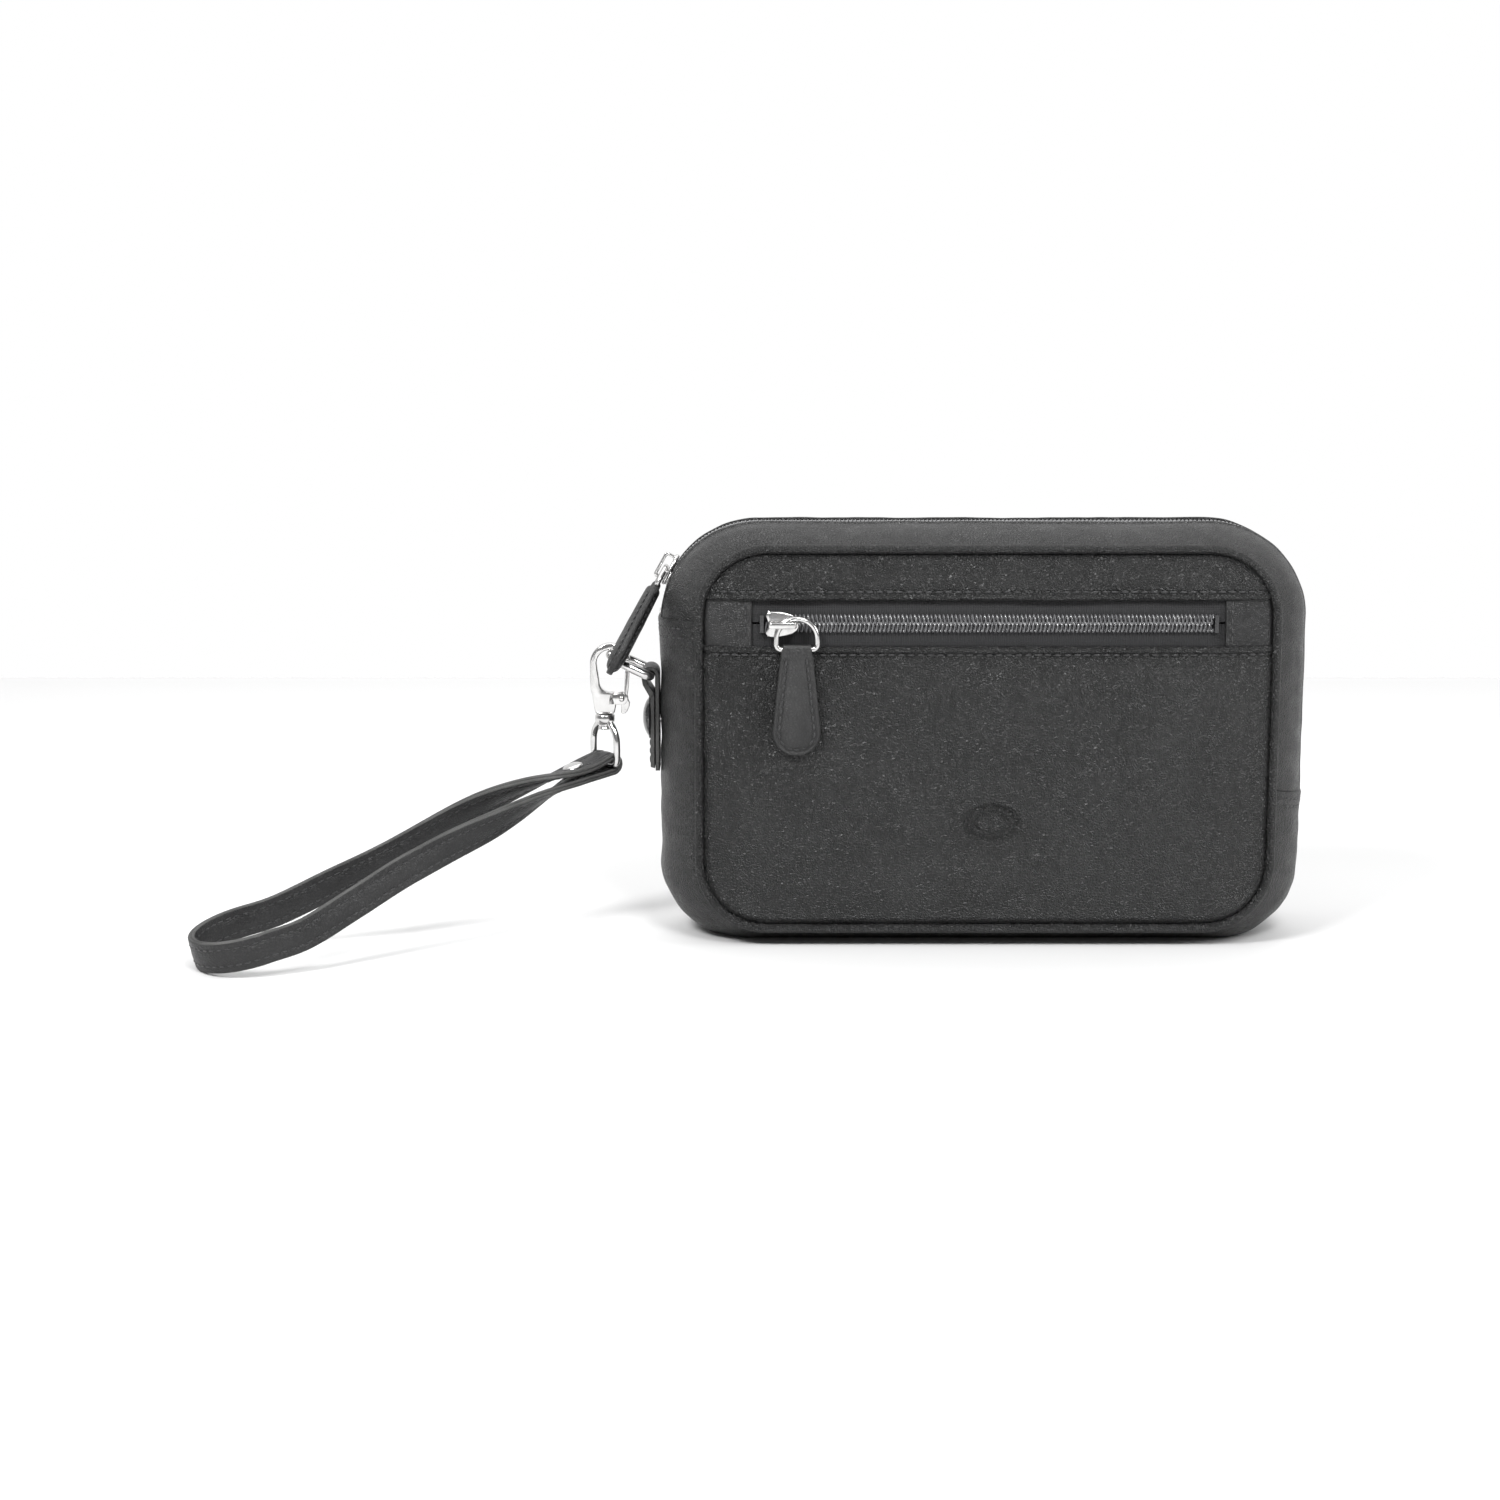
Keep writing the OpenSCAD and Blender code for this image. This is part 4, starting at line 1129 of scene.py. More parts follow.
@dataclass
class Zips:
    """Tapes and coils of both zips, and the two lips of the mouth."""

    pitch: float = 1.3
    wire: float = 0.29

    def build(self) -> None:
        """Builds the pocket zip, the corners of the main zip and the lips."""
        for sign, name in ((1, "upper"), (-1, "lower")):
            self._pocket_tape(sign, name)
            self._coil(f"pocket_coil_{name}_turns", -71.0, 71.0, sign,
                       lambda run, a, o: FORM.face(Side.FRONT, run, FORM.zip_z + a, 0.75 - o),
                       "bag", [f"pocket_coil_{name}"])
        for end in End:
            self._corner(end)
        for side in Side:
            for end in End:
                self._lip(side, end)

    def _pocket_tape(self, sign: int, name: str) -> None:
        """Builds one tape of the pocket zip.

        Args:
            sign: 1 for the upper tape, -1 for the lower.
            name: Its name.
        """
        sketch = Sketch(f"pocket_tape_{name}_cloth")
        us, vs = graded(-79.0, 79.0, 1.6), graded(0.35, 9.5, 0.9)

        def place(x: float, a: float, deep: float) -> Vector:
            """Gives a point of the tape at a depth below its outside."""
            ridge = 0.22 * dent(a - 3.6, 0.5) + 0.05 * soft(x, a, 0, 8.0, sign)
            return FORM.face(Side.FRONT, x, FORM.zip_z + sign * a, 1.55 - ridge + deep)

        sketch.skin(us, vs, lambda x, a: place(x, a, 0.0), lambda x, a: place(x, a, 0.5))
        sketch.finish(TAPE, "bag", [f"pocket_tape_{name}"])

    def _coil(self, name: str, start: float, stop: float, sign: float,
              place: Callable[[float, float, float], Vector], body: str,
              nodes: Sequence[str]) -> bpy.types.Object:
        """Builds one half of a chain as a real coil of wire.

        Args:
            name: Name of the piece.
            start: First run value.
            stop: Last run value.
            sign: Which side of the chain.
            place: Point for a run, a distance across and a distance out.
            body: CAD body, or empty.
            nodes: CAD nodes that it stands for.

        Returns:
            The object.
        """
        turns = (stop - start) / self.pitch
        steps = 10
        path = []
        for k in range(int(turns * steps) + 1):
            t = 2 * math.pi * k / steps
            run = start + self.pitch * k / steps + (self.pitch / 2 if sign > 0 else 0.0)
            across = 1.18 + 1.52 * math.cos(t)
            path.append(place(min(run, stop), sign * across, 0.52 * math.sin(t)))
        sketch = Sketch(name)
        sketch.tube(path, self.wire, 6)
        return sketch.finish(COIL, body, nodes, face_out=False)

    def _corner(self, end: End) -> None:
        """Builds the tapes and coils round one corner.

        Args:
            end: Left or right.
        """
        sign, label = end.value, end.name.lower()
        arc = FORM.mid_r * math.pi / 2
        cx = FORM.mid_half - FORM.mid_r
        stop = cx + arc - 1.5 if end is End.LEFT else cx + arc + 50.0
        coil_stop = cx + arc * 0.885 if end is End.LEFT else cx + arc + 46.5
        sketch = Sketch(f"corner_tape_{label}_cloth")
        for side in (-1, 1):
            sketch.skin(graded(69.7, stop, 1.5), graded(0.35, 9.8, 0.9),
                        lambda run, a, side=side: zip_point(sign, run, side * a,
                                                            1.75 - 0.2 * dent(a - 3.6, 0.5)),
                        lambda run, a, side=side: zip_point(sign, run, side * a, 2.25))
        sketch.finish(TAPE, "bag", [f"corner_tape_{label}"])
        for side in (-1, 1):
            nodes = [f"corner_coil_{label}"]
            self._coil(f"corner_coil_{label}_{'front' if side < 0 else 'back'}", 69.7, coil_stop, side,
                       lambda run, a, o: zip_point(sign, run, a, 0.95 - o), "bag", nodes)

    def _lip(self, side: Side, end: End) -> None:
        """Builds half of one lip: leather, tape, coil and lining.

        Args:
            side: Front or back.
            end: Left or right.
        """
        label = f"{side.name.lower()}_{end.name.lower()}"
        sign, y_sign = end.value, side.value
        node = side.name.lower()

        def leather(run: float, y: float, deep: float) -> Vector:
            """Gives a point of the lip's leather: its outside where deep is 0."""
            s = -1.0 - (70.0 + sign * run) / 140.0
            flat = FORM.around(s, y, 0.0)
            off = strip_off(y, flat.x, flat.z, 2.0 + y_sign) if not deep else deep
            return FORM.around(s, y_sign * y, off)

        strip = Sketch(f"lip_leather_{label}")
        strip.skin(graded(0.0, 70.0, 1.25), graded(FORM.zip_half, 26.3, 1.2, 0.35, 3.5),
                   lambda r, y: leather(r, y, 0.0), lambda r, y: leather(r, y, 1.3))
        rows = Sketch(f"lip_stitches_{label}")
        rows.stitches([leather(r, FORM.zip_half + 2.6, 0.0) for r in graded(0.0, 70.0, 0.6)],
                      lambda p: Vector((0, 0, 1)), 3.0, 2.2, 0.3)
        tape = Sketch(f"lip_tape_{label}")
        tape.skin(graded(0.0, 69.7, 1.5), graded(0.35, 9.8, 0.9),
                  lambda r, a: zip_point(sign, r, y_sign * a, 1.75 - 0.2 * dent(a - 3.6, 0.5)),
                  lambda r, a: zip_point(sign, r, y_sign * a, 2.25))
        lining = Sketch(f"lip_lining_{label}")
        lining.skin(graded(0.0, 69.7, 2.0), graded(9.0, 22.0, 1.2),
                    lambda r, y: FORM.around(-1.0 - (70.0 + sign * r) / 140.0, y_sign * y, 2.6),
                    lambda r, y: FORM.around(-1.0 - (70.0 + sign * r) / 140.0, y_sign * y, 3.1))
        made = [strip.finish(SHELL, "", [f"top_strip_{node}"]), rows.finish(THREAD, "", face_out=False),
                tape.finish(TAPE, "", [f"top_tape_{node}"]),
                lining.finish(LINING, "", [f"lining_lip_{node}"]),
                self._coil(f"lip_coil_{label}", 0.0 if end is End.LEFT else -0.7, 69.6, y_sign,
                           lambda run, a, o: zip_point(sign, run, a, 0.95 - o), "", [f"top_coil_{node}"])]
        for piece in made:
            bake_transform(piece)


@dataclass
class Interior:
    """Lining and pouch inside; Plain paints the boards."""

    def build(self) -> None:
        """Builds the linings and the pouch."""
        self._face("lining_front_cloth", Side.FRONT, 0.5, 6.5, 125.5, 9.9, ["lining_front"])
        self._face("lining_back_cloth", Side.BACK, 0.5, 6.5, 125.5, 3.6, ["lining_back"])
        self._gusset()
        self._pouch()

    def _face(self, name: str, side: Side, inset: float, z0: float, z1: float, off: float,
              nodes: Sequence[str]) -> None:
        """Builds a lining sheet that follows a face.

        Args:
            name: Name of the piece.
            side: Front or back.
            inset: Distance in from the seam.
            z0: Lowest height.
            z1: Highest height.
            off: Inset of its outer surface.
            nodes: CAD nodes that it stands for.
        """
        def place(u: float, z: float, deep: float) -> Vector:
            """Gives a point of the lining at a depth below its outer surface."""
            x = u * FORM.half_at(z, inset)
            ripple = 0.16 * soft(x, 0, z, 16.0, 5.0) + 0.08 * soft(x, 0, z, 6.0, 2.0)
            return FORM.face(side, x, z, off + 0.1 + ripple + deep)

        sketch = Sketch(name)
        sketch.skin(graded(-1, 1, 0.028), graded(z0, z1, 2.4), lambda u, z: place(u, z, 0.0),
                    lambda u, z: place(u, z, 0.4))
        sketch.finish(LINING, "bag", nodes)

    def _gusset(self) -> None:
        """Builds the lining of the gusset and of both corners."""
        for name, s0, s1, low, high, nodes in (
                ("lining_gusset_cloth", 0.03, 4.30, -16.6, 22.9, ["lining_gusset"]),
                ("lining_corner_front_left", -1.0, 0.02, -16.6, -9.2, ["lining_corner_left"]),
                ("lining_corner_back_left", -1.0, 0.02, 9.2, 22.9, ["lining_corner_left"]),
                ("lining_corner_front_right", 4.31, 6.0, -16.6, -9.2, ["lining_corner_right"]),
                ("lining_corner_back_right", 4.31, 6.0, 9.2, 22.9, ["lining_corner_right"])):
            sketch = Sketch(name)
            sketch.skin(places(s0, s1, 3.0), graded(low, high, 2.0),
                        lambda s, y: FORM.around(s, y, 2.65 + 0.12 * soft(walk(s), y, 0, 9.0, 3.0)),
                        lambda s, y: FORM.around(s, y, 3.1 + 0.12 * soft(walk(s), y, 0, 9.0, 3.0)))
            sketch.finish(LINING, "bag", nodes)

    def _pouch(self) -> None:
        """Builds the pocket's own bag behind the front panel."""
        sketch = Sketch("pocket_pouch_cloth")
        walls = ((12.0, 93.4, 1.85, 0.0), (117.6, 121.5, 1.85, 0.0), (12.0, 121.5, 2.65, 5.5))
        for z0, z1, off, swell in walls:
            def place(u: float, z: float, deep: float, off: float = off, swell: float = swell) -> Vector:
                """Gives a point of the pouch."""
                x = u * FORM.half_at(z, 5.5)
                ripple = 0.04 * soft(x, 0, z, 9.0, 1.0)
                return FORM.face(Side.FRONT, x, z, off + swell * FORM.puff(x, z) + deep + ripple)
            sketch.skin(graded(-1, 1, 0.035), graded(z0, z1, 2.5), lambda u, z: place(u, z, 0.0),
                        lambda u, z: place(u, z, 0.3))
        sketch.finish(LINING, "bag", ["pocket_pouch"])


# ------------------------------------------------------------------ sliders, rings and pulls
def turn(axis: str, degrees: float) -> Matrix:
    """Makes a rotation.

    Args:
        axis: X, Y or Z.
        degrees: Angle.

    Returns:
        A 4x4 matrix.
    """
    return Matrix.Rotation(math.radians(degrees), 4, axis)


def shift(x: float, y: float, z: float) -> Matrix:
    """Makes a translation in mm.

    Args:
        x: Distance along X.
        y: Distance along Y.
        z: Distance along Z.

    Returns:
        A 4x4 matrix.
    """
    return Matrix.Translation((x, y, z))


def arc_points(cx: float, cy: float, r: float, a0: float, a1: float, steps: int) -> list[tuple[float, float]]:
    """Gives points on an arc.

    Args:
        cx: Centre's first coordinate.
        cy: Centre's second coordinate.
        r: Radius.
        a0: First angle in degrees.
        a1: Last angle in degrees.
        steps: Number of steps.

    Returns:
        The points.
    """
    angles = [math.radians(a0 + (a1 - a0) * k / steps) for k in range(steps + 1)]
    return [(cx + r * math.cos(a), cy + r * math.sin(a)) for a in angles]


def d_path(r: float, drop: float, corner: float, place: Matrix) -> list[Vector]:
    """Gives the centre line of a D of wire, its bar below the centre.

    Args:
        r: Radius of the bow.
        drop: Distance from the centre to the bar.
        corner: Radius at the bar's ends.
        place: Matrix from the D's own XZ frame.

    Returns:
        The points of the loop.
    """
    flat = arc_points(0, 0, r, 0, 180, 30)
    flat += [(-r, -drop * k / 4 + corner * k / 4) for k in range(1, 4)]
    flat += arc_points(corner - r, corner - drop, corner, 180, 270, 6)
    flat += [(corner - r + 2 * (r - corner) * k / 8, -drop) for k in range(1, 8)]
    flat += arc_points(r - corner, corner - drop, corner, 270, 360, 6)
    flat += [(r, (corner - drop) * (1 - k / 4)) for k in range(1, 4)]
    return [place @ Vector((x, 0, z)) for x, z in flat]


@dataclass
class Puller:
    """One slider with its ring and its padded leather pull."""

    prefix: str
    slider_frame: Matrix
    ring_frame: Matrix
    depth: float
    bodies: tuple[str, str, str]
    nodes: tuple[str, str, str]
    length: float = 34.0
    tip: float = 7.6

    def build(self) -> None:
        """Builds the three parts."""
        self._slider()
        ring = Sketch(f"{self.prefix}_ring_wire")
        ring.tube(d_path(6.5, 3.2, 1.5, self.ring_frame), 0.85, 14, True)
        ring.finish(NICKEL, self.bodies[1], [self.nodes[1]])
        self._pull()

    def _slider(self) -> None:
        """Builds the slider: X along the zip, Z out of the bag, 0 where its plate lies on the chain."""
        half = [(5.3, 2.9), (4.6, 3.8), (3.4, 4.1), (0.6, 4.05), (-1.2, 3.7), (-3.2, 3.1), (-4.5, 2.2),
                (-5.2, 1.1), (-5.3, 0.0)]
        outline = [(4.3, 0.0), (4.7, 1.3)] + half + [(x, -y) for x, y in reversed(half[:-1])] + [(4.7, -1.3)]
        sketch = Sketch(f"{self.prefix}_slider_metal")
        sketch.prism(outline, 0.0, 1.3, self.slider_frame, 0.55, 5)
        under = [(x * 0.96, y * 0.9) for x, y in outline]
        sketch.prism(under, -self.depth - 0.9, -self.depth, self.slider_frame, 0.3)
        for s in (-1, 1):
            flange = [(0.2, s * 3.2), (4.9, s * 3.2), (4.7, s * 4.0), (0.4, s * 4.0)]
            sketch.prism(flange, -1.1, 0.2, self.slider_frame, 0.15, 2)
        web = [(-1, -0.2), (3, -0.2), (3, 0.2), (-1, 0.2)]
        sketch.prism(web, -self.depth - 0.1, 0.1, self.slider_frame, 0.0)
        low, high = [(-4.5, -0.3), (-4.5, 2.3)], [(4.5, 2.3), (4.5, -0.3)]
        outer = low + arc_points(-3.3, 2.4, 1.2, 180, 90, 5) + arc_points(3.3, 2.4, 1.2, 90, 0, 5) + high[1:]
        inner = [(3.5, -0.3)] + arc_points(2.95, 2.05, 0.55, 0, 90, 3)
        inner += arc_points(-2.95, 2.05, 0.55, 90, 180, 3) + [(-3.5, -0.3)]
        sketch.prism(outer + inner, -0.95, 0.95, self.slider_frame @ shift(0, 0, 1.2) @ turn("X", 90), 0.28)
        sketch.prism(arc_points(-4.0, 0, 1.1, 0, 360, 16)[:-1], 1.1, 1.45, self.slider_frame, 0.15)
        sketch.finish(NICKEL, self.bodies[0], [self.nodes[0]])

    def _half_width(self, d: float) -> float:
        """Gives the pull's half width at a distance below its bar.

        Args:
            d: Distance along the pull.

        Returns:
            The half width.
        """
        tail = self.length - self.tip
        wide = 4.75 + 3.7 * (max(0.0, min(tail, d)) / self.length) ** 0.9
        if d <= tail:
            return wide
        t = (d - tail) / self.tip
        return wide * math.sqrt(max(0.004, 1 - t * t)) if t < 1 else wide * 0.06

    def _pull(self) -> None:
        """Builds the padded pull: two stitched layers that swell between their seams."""
        def surface(u: float, v: float, face: float) -> Vector:
            """Gives a point on one face of the pull."""
            d = -1.45 + (self.length + 1.4) * v
            width = self._half_width(d) * (0.93 if d < 0 else 1.0)
            x = u * width
            edge = min(width - abs(x), (self.length - d) * 1.1)
            crown = math.sin(min(1.0, max(0.0, edge - 1.4) / 6.0) * math.pi / 2) ** 0.8
            swell = 1.0 + 1.75 * crown - 0.45 * dent(edge - 2.0, 0.5)
            if d < 3.0:
                fold = 1.5 * math.sqrt(max(0.05, 1 - ((d + 0.2) / 1.6) ** 2))
                swell = max(swell, 1.5) if d > -0.6 else fold
            rim = curl(edge, 0.75) * 0.8
            swell = max(0.10, swell - rim) + 0.06 * soft(x, face, d, 4.0, 2.0)
            return self.ring_frame @ Vector((x, face * swell, -3.2 - d))

        us, vs = graded(-1, 1, 0.06, 0.03, 0.24), graded(0, 1, 0.02, 0.006, 0.06)
        sketch = Sketch(f"{self.prefix}_pull_leather")
        sketch.skin(us, vs, lambda u, v: surface(u, v, -1.0), lambda u, v: surface(u, v, 1.0))
        pull = sketch.finish(PULL, self.bodies[2], [self.nodes[2]])
        rows = Sketch(f"{self.prefix}_pull_stitches")
        for face in (-1.0, 1.0):
            path = []
            tail = self.length - self.tip
            for d in graded(2.6, tail, 0.5):
                path.append((self._half_width(d) - 2.1, d))
            for a in graded(0, 90, 6):
                r = self.tip - 2.1
                t = math.radians(a)
                path.append(((self._half_width(tail) - 2.1) * math.cos(t), tail + r * math.sin(t)))
            loop = path + [(-x, d) for x, d in reversed(path)]
            points = [self.ring_frame @ Vector((x, face * 1.42, -3.2 - d)) for x, d in loop]
            normal = self.ring_frame.to_3x3() @ Vector((0, face, 0))
            rows.stitches(points, lambda p: normal, 2.6, 1.9, 0.34)
            across = [self.ring_frame @ Vector((x, face * 1.55, -3.2 - 2.6)) for x in graded(-2.7, 2.7, 0.4)]
            rows.stitches(across, lambda p: normal, 2.2, 1.7, 0.26)
        rows.finish(THREAD, self.bodies[2], face_out=False)


# ------------------------------------------------------------------ side fittings
@dataclass
class SideFittings:
    """Tab, stud, D-ring, hook, lever and swivel eye."""

    tab_x: float = -105.3
    bar: Vector = field(default_factory=lambda: Vector((-108.3, 0, 85.5)))
    tip: Vector = field(default_factory=lambda: Vector((-121.532, 0, 91.670)))
    arc_z: float = 88.870
    floor: float = 79.170
    base: float = 72.270
    neck: float = -123.432
    eye: float = 55.670

    def build(self) -> None:
        """Builds every fitting."""
        self._tab()
        self._stud()
        ring = Sketch("side_ring_wire")
        place = shift(*self.bar) @ turn("Y", 25 - 90) @ shift(0, 0, 6.1) @ turn("Z", 90)
        ring.tube(d_path(8.5, 6.1, 2.2, place), 1.5, 18, True)
        ring.finish(CHROME, "side_ring", ["d_ring"])
        self._hook()
        self._lever()
        self._eye()

    def _tab(self) -> None:
        """Builds the folded leather tab with its cut edges and stitches."""
        up = turn("X", 90)
        bx, bz = self.bar.x, self.bar.z
        layers = (([(self.tab_x, 54.0)] + arc_points(bx, bz, 3.0, 0, 180, 20)
                   + [(bx - 2.4, bz - 3.2), (-108.30, bz - 7.4), (-108.30, bz - 7.6), (-107.0, bz - 5.8),
                      (bx - 0.75, bz - 2.6)]
                   + arc_points(bx, bz, 1.6, 180, 0, 16) + [(self.tab_x - 1.4, 54.0)], "back"),
                  ([(-106.9, 54.8), (-106.9, bz - 5.7), (-108.3, bz - 7.3), (-108.3, 55.2)], "front"))
        for outline, name in layers:
            sketch = Sketch(f"tab_leather_{name}")
            sketch.prism(outline, -6.25, 6.25, up, 0.32)
            tab = sketch.finish(STRAP, "bag", ["side_tab"], smooth=False)
            tab.data.materials.append(EDGE.material())
            for face in tab.data.polygons:
                face.material_index = 1 if abs(face.normal.y) > 0.75 or face.normal.z < -0.9 else 0
                face.use_smooth = True
            sharp = tab.modifiers.new("edges", "WEIGHTED_NORMAL")
            sharp.keep_sharp = True
        rows = Sketch("tab_stitches")
        face_x = -108.36
        runs = [[Vector((face_x, y, z)) for z in graded(56.5, 77.0, 0.5)] for y in (-4.7, 4.7)]
        runs.append([Vector((face_x, y, 56.6)) for y in graded(-4.4, 4.4, 0.5)])
        for run in runs:
            rows.stitches(run, lambda p: Vector((-1, 0, 0)), 2.7, 2.0, 0.28)
        rows.finish(THREAD, "bag", face_out=False)

    def _stud(self) -> None:
        """Builds the domed cap and its thin metal rim."""
        place = shift(-108.45, 0, 71.0) @ turn("Y", -90)
        cap = Sketch("stud_dome")
        cap.lathe([(0, 2.5), (1.5, 2.45), (3.0, 2.2), (4.4, 1.75), (5.5, 1.2), (6.3, 0.62), (6.6, 0.25),
                   (6.6, 0.0), (0, 0)], place, 48)
        cap.finish(ENAMEL, "bag", ["stud_cap"])
        rim = Sketch("stud_rim")
        rim.lathe([(6.3, 0.0), (7.0, 0.0), (7.15, 0.25), (7.0, 0.5), (6.5, 0.55), (6.3, 0.0)], place, 48)
        rim.finish(ENAMEL, "bag")

    def _hook(self) -> None:
        """Builds the hook: its bow, trapezoid base, pivot cheeks and swivel post."""
        tx, az, fl = self.tip.x, self.arc_z, self.floor
        outline = arc_points(tx, az, 6.65, 8.6, 180, 22)
        outline += [(tx - 6.65, fl + 3.4), (tx - 6.5, fl + 1.0), (tx - 6.0, fl - 0.8),
                    (self.neck - 3.3, self.base + 0.5), (self.neck - 2.9, self.base),
                    (self.neck + 2.9, self.base), (self.neck + 3.3, self.base + 0.4),
                    (tx + 1.9, fl - 4.2), (tx + 1.6, fl - 3.0), (tx + 1.0, fl + 0.15)]
        outline += arc_points(tx, fl + 3.6, 3.6, -75, -180, 10)
        outline += [(tx - 4.2, az - 2.0)] + arc_points(tx, az, 4.45, 180, 13, 18)
        sketch = Sketch("hook_metal")
        sketch.prism(outline, -1.6, 1.6, turn("X", 90), 0.55, 4)
        for s in (-1, 1):
            cheek = arc_points(tx + 3.7, fl - 2.0, 2.0, -100, 120, 12)
            cheek += [(tx - 0.2, fl - 0.4), (tx - 0.8, fl - 4.0)]
            sketch.prism(cheek, 1.02 if s > 0 else -1.6, 1.6 if s > 0 else -1.02, turn("X", 90), 0.15, 2)
            sketch.lathe([(0, 0.45), (0.55, 0.40), (0.95, 0.1), (0.95, 0), (0, 0)],
                         shift(tx + 3.7, s * 1.6, fl - 2.0) @ turn("X", -90 * s), 16)
        sketch.lathe([(0, -5.4), (1.3, -5.4), (1.5, -5.2), (1.5, -1.0), (2.2, -0.3), (3.0, 0.1), (0, 0.3)],
                     shift(self.neck, 0, self.base), 28)
        sketch.finish(CHROME, "hook", ["hook_body"])
        collar = Sketch("swivel_collar_rings")
        collar.lathe([(1.5, 66.85), (2.0, 66.95), (2.2, 67.3), (2.0, 67.65), (1.85, 67.85), (2.2, 68.2),
                      (2.3, 68.55), (2.0, 68.9), (1.5, 68.95), (1.5, 66.85)], shift(self.neck, 0, 0), 32)
        collar.finish(NICKEL, "hook", ["swivel_collar"])

    def _lever(self) -> None:
        """Builds the thin gate with its thumb piece."""
        outline = [(0.8, 1.6), (1.1, 8.0), (1.3, 12.2), (1.7, 12.5), (2.5, 12.4), (2.8, 11.8), (2.3, 4.0),
                   (1.95, 1.2), (2.2, -0.4), (2.7, -1.4), (2.5, -2.6), (1.8, -4.2), (1.2, -4.9), (0.3, -5.2),
                   (-0.15, -4.8), (-0.3, -1.8),
                   (-1.3, -1.3), (-1.75, 0), (-1.3, 1.3), (0, 1.75)]
        sketch = Sketch("hook_gate")
        sketch.prism(outline, -0.92, 0.92, shift(self.tip.x + 3.7, 0, self.floor - 2.0) @ turn("X", 90), 0.28)
        sketch.finish(NICKEL, "hook_lever", ["hook_lever"])

    def _eye(self) -> None:
        """Builds the swivel eye: a hub on the post and a bent wire below it."""
        place = shift(self.neck, 0, self.eye) @ turn("Z", -51)
        rough = [(-1.6, 14.4), (-4.2, 12.6), (-6.3, 9.2), (-6.5, 6.0), (-6.5, 1.6), (-5.7, 0.15),
                 (-3.0, 0.0), (3.0, 0.0), (5.7, 0.15), (6.5, 1.6), (6.5, 6.0), (6.3, 9.2), (4.2, 12.6),
                 (1.6, 14.4)]
        path = [Vector((x, 0, z)) for x, z in rough]
        for _ in range(3):
            cut = [p for a, b in zip(path, path[1:]) for p in (a.lerp(b, 0.25), a.lerp(b, 0.75))]
            path = [path[0]] + cut + [path[-1]]
        sketch = Sketch("swivel_eye_metal")
        sketch.tube([place @ p for p in path], 1.12, 14)
        hub = [(1.56, 13.6), (2.9, 13.6), (3.25, 13.9), (3.3, 14.8), (3.25, 15.9), (2.9, 16.3), (1.56, 16.3),
               (1.56, 13.6)]
        sketch.lathe(hub, place, 36)
        sketch.finish(CHROME, "swivel_eye", ["swivel_eye"])


